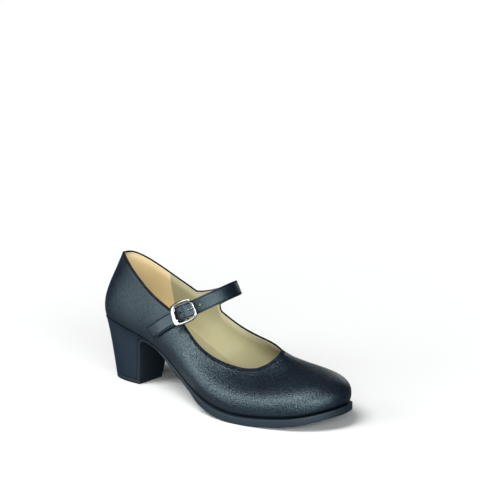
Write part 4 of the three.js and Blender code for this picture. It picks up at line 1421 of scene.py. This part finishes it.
def camera():
    """The camera that took the photograph."""
    away = direction(CAMERA_AZIMUTH, CAMERA_ELEVATION)
    right = direction(CAMERA_AZIMUTH + 90, 0)
    data = bpy.data.cameras.new("camera")
    data.sensor_width = SENSOR
    data.lens = CAMERA_LENS
    data.clip_start = 0.05
    data.clip_end = 200
    eye = new_object("camera", data)
    turned = Matrix((right, away.cross(right), away)).transposed().to_4x4()
    place = Vector(metres(CAMERA_AIM)) + away * CAMERA_DISTANCE * 0.001
    eye.matrix_world = Matrix.Translation(place) @ turned
    bpy.context.scene.camera = eye
    bpy.context.scene.view_settings.view_transform = "Standard"


def dress(piece, slot, *nodes):
    """Lets a piece ride on the shoe's one body and hides the solids it replaces. Its slot is not used."""
    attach(piece, "root")
    if nodes:
        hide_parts(*nodes)


# The dressed shoe
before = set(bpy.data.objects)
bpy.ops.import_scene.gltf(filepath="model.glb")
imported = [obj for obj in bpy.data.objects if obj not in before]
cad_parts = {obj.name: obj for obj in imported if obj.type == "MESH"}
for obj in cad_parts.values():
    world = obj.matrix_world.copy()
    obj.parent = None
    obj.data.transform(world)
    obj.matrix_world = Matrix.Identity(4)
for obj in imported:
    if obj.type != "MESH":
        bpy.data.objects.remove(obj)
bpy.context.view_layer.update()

grain = grain_group()
folds = folds_group()
upper_black = black_leather("Upper leather", grain, folds, 0.001, 0.00015, 0.31, (0.34, 0.66))
strap_black = black_leather("Strap leather", grain, folds, 0.0009, 0.0001, 0.34, (0.4, 0.62))
heel_black = black_leather("Heel cover leather", grain, folds, 0.0007, 0.00002, 0.42, (0.42, 0.5), 2)
rear_lining = beige_leather(
    "Rear lining", grain, 0.0012, 0.62, (0.54, 0.4, 0.2), (0.59, 0.44, 0.23), (0.68, 0.54, 0.31)
)
front_lining = beige_leather(
    "Front lining", grain, 0.0012, 0.62, (0.265, 0.24, 0.13), (0.3, 0.272, 0.152), (0.41, 0.375, 0.24)
)
sock_beige = beige_leather("Sock leather", grain, 0.0014, 0.6, (0.245, 0.222, 0.128), (0.28, 0.255, 0.152))
sole_rubber = moulded_rubber("Sole", folds, (0.01, 0.0145, 0.02), 0.5)
lift_rubber = moulded_rubber("Top piece rubber", folds, (0.012, 0.016, 0.02), 0.55)
metal = nickel(folds)
black_thread = thread("Black thread", (0.004, 0.006, 0.009), 0.06)
inner_thread = thread("Inner thread", (0.05, 0.045, 0.035))
beige_thread = thread("Beige thread", (0.3, 0.24, 0.13))

dress(upper_leather(upper_black), "upper", "upper")
dress(rear_panel(rear_lining), "insole")
dress(front_panel(front_lining), "insole")
dress(sock(sock_beige), "insole", "insole")
dress(outsole(sole_rubber), "outsole", "outsole")
dress(heel_cover(heel_black), "heel_block", "heel_block")
dress(top_piece(lift_rubber), "top_piece", "top_piece")
dress(instep_strap(strap_black), "instep_strap", "instep_strap")
dress(buckle_strap(strap_black), "buckle_strap", "buckle_strap")
dress(buckle_frame(metal), "buckle_frame", "buckle_frame")
dress(buckle_prong(metal), "buckle_prong", "buckle_prong")

# Stitch rows: name, lines, thread, length and thickness of a stitch, and the slot they go with
tree = stitch_tree()
outer_row, inner_row = collar_rows()
for name, lines, yarn, length, thickness, slot in (
    ("collar_stitches", [(outer_row, True)], black_thread, STITCH_LENGTH, THREAD, "upper"),
    ("collar_inner_stitches", [(inner_row, True)], inner_thread, 0.8, 0.3, "insole"),
    ("strap_stitches", strap_rows(), black_thread, 1, 0.55, "instep_strap"),
    ("buckle_strap_stitches", buckle_strap_rows(), black_thread, 1, 0.55, "buckle_strap"),
    ("lining_stitches", lining_rows(), beige_thread, STITCH_LENGTH, 0.3, "insole"),
):
    dress(stitches(name, tree, lines, yarn, length, thickness), slot)

backdrop()
lights()
camera()
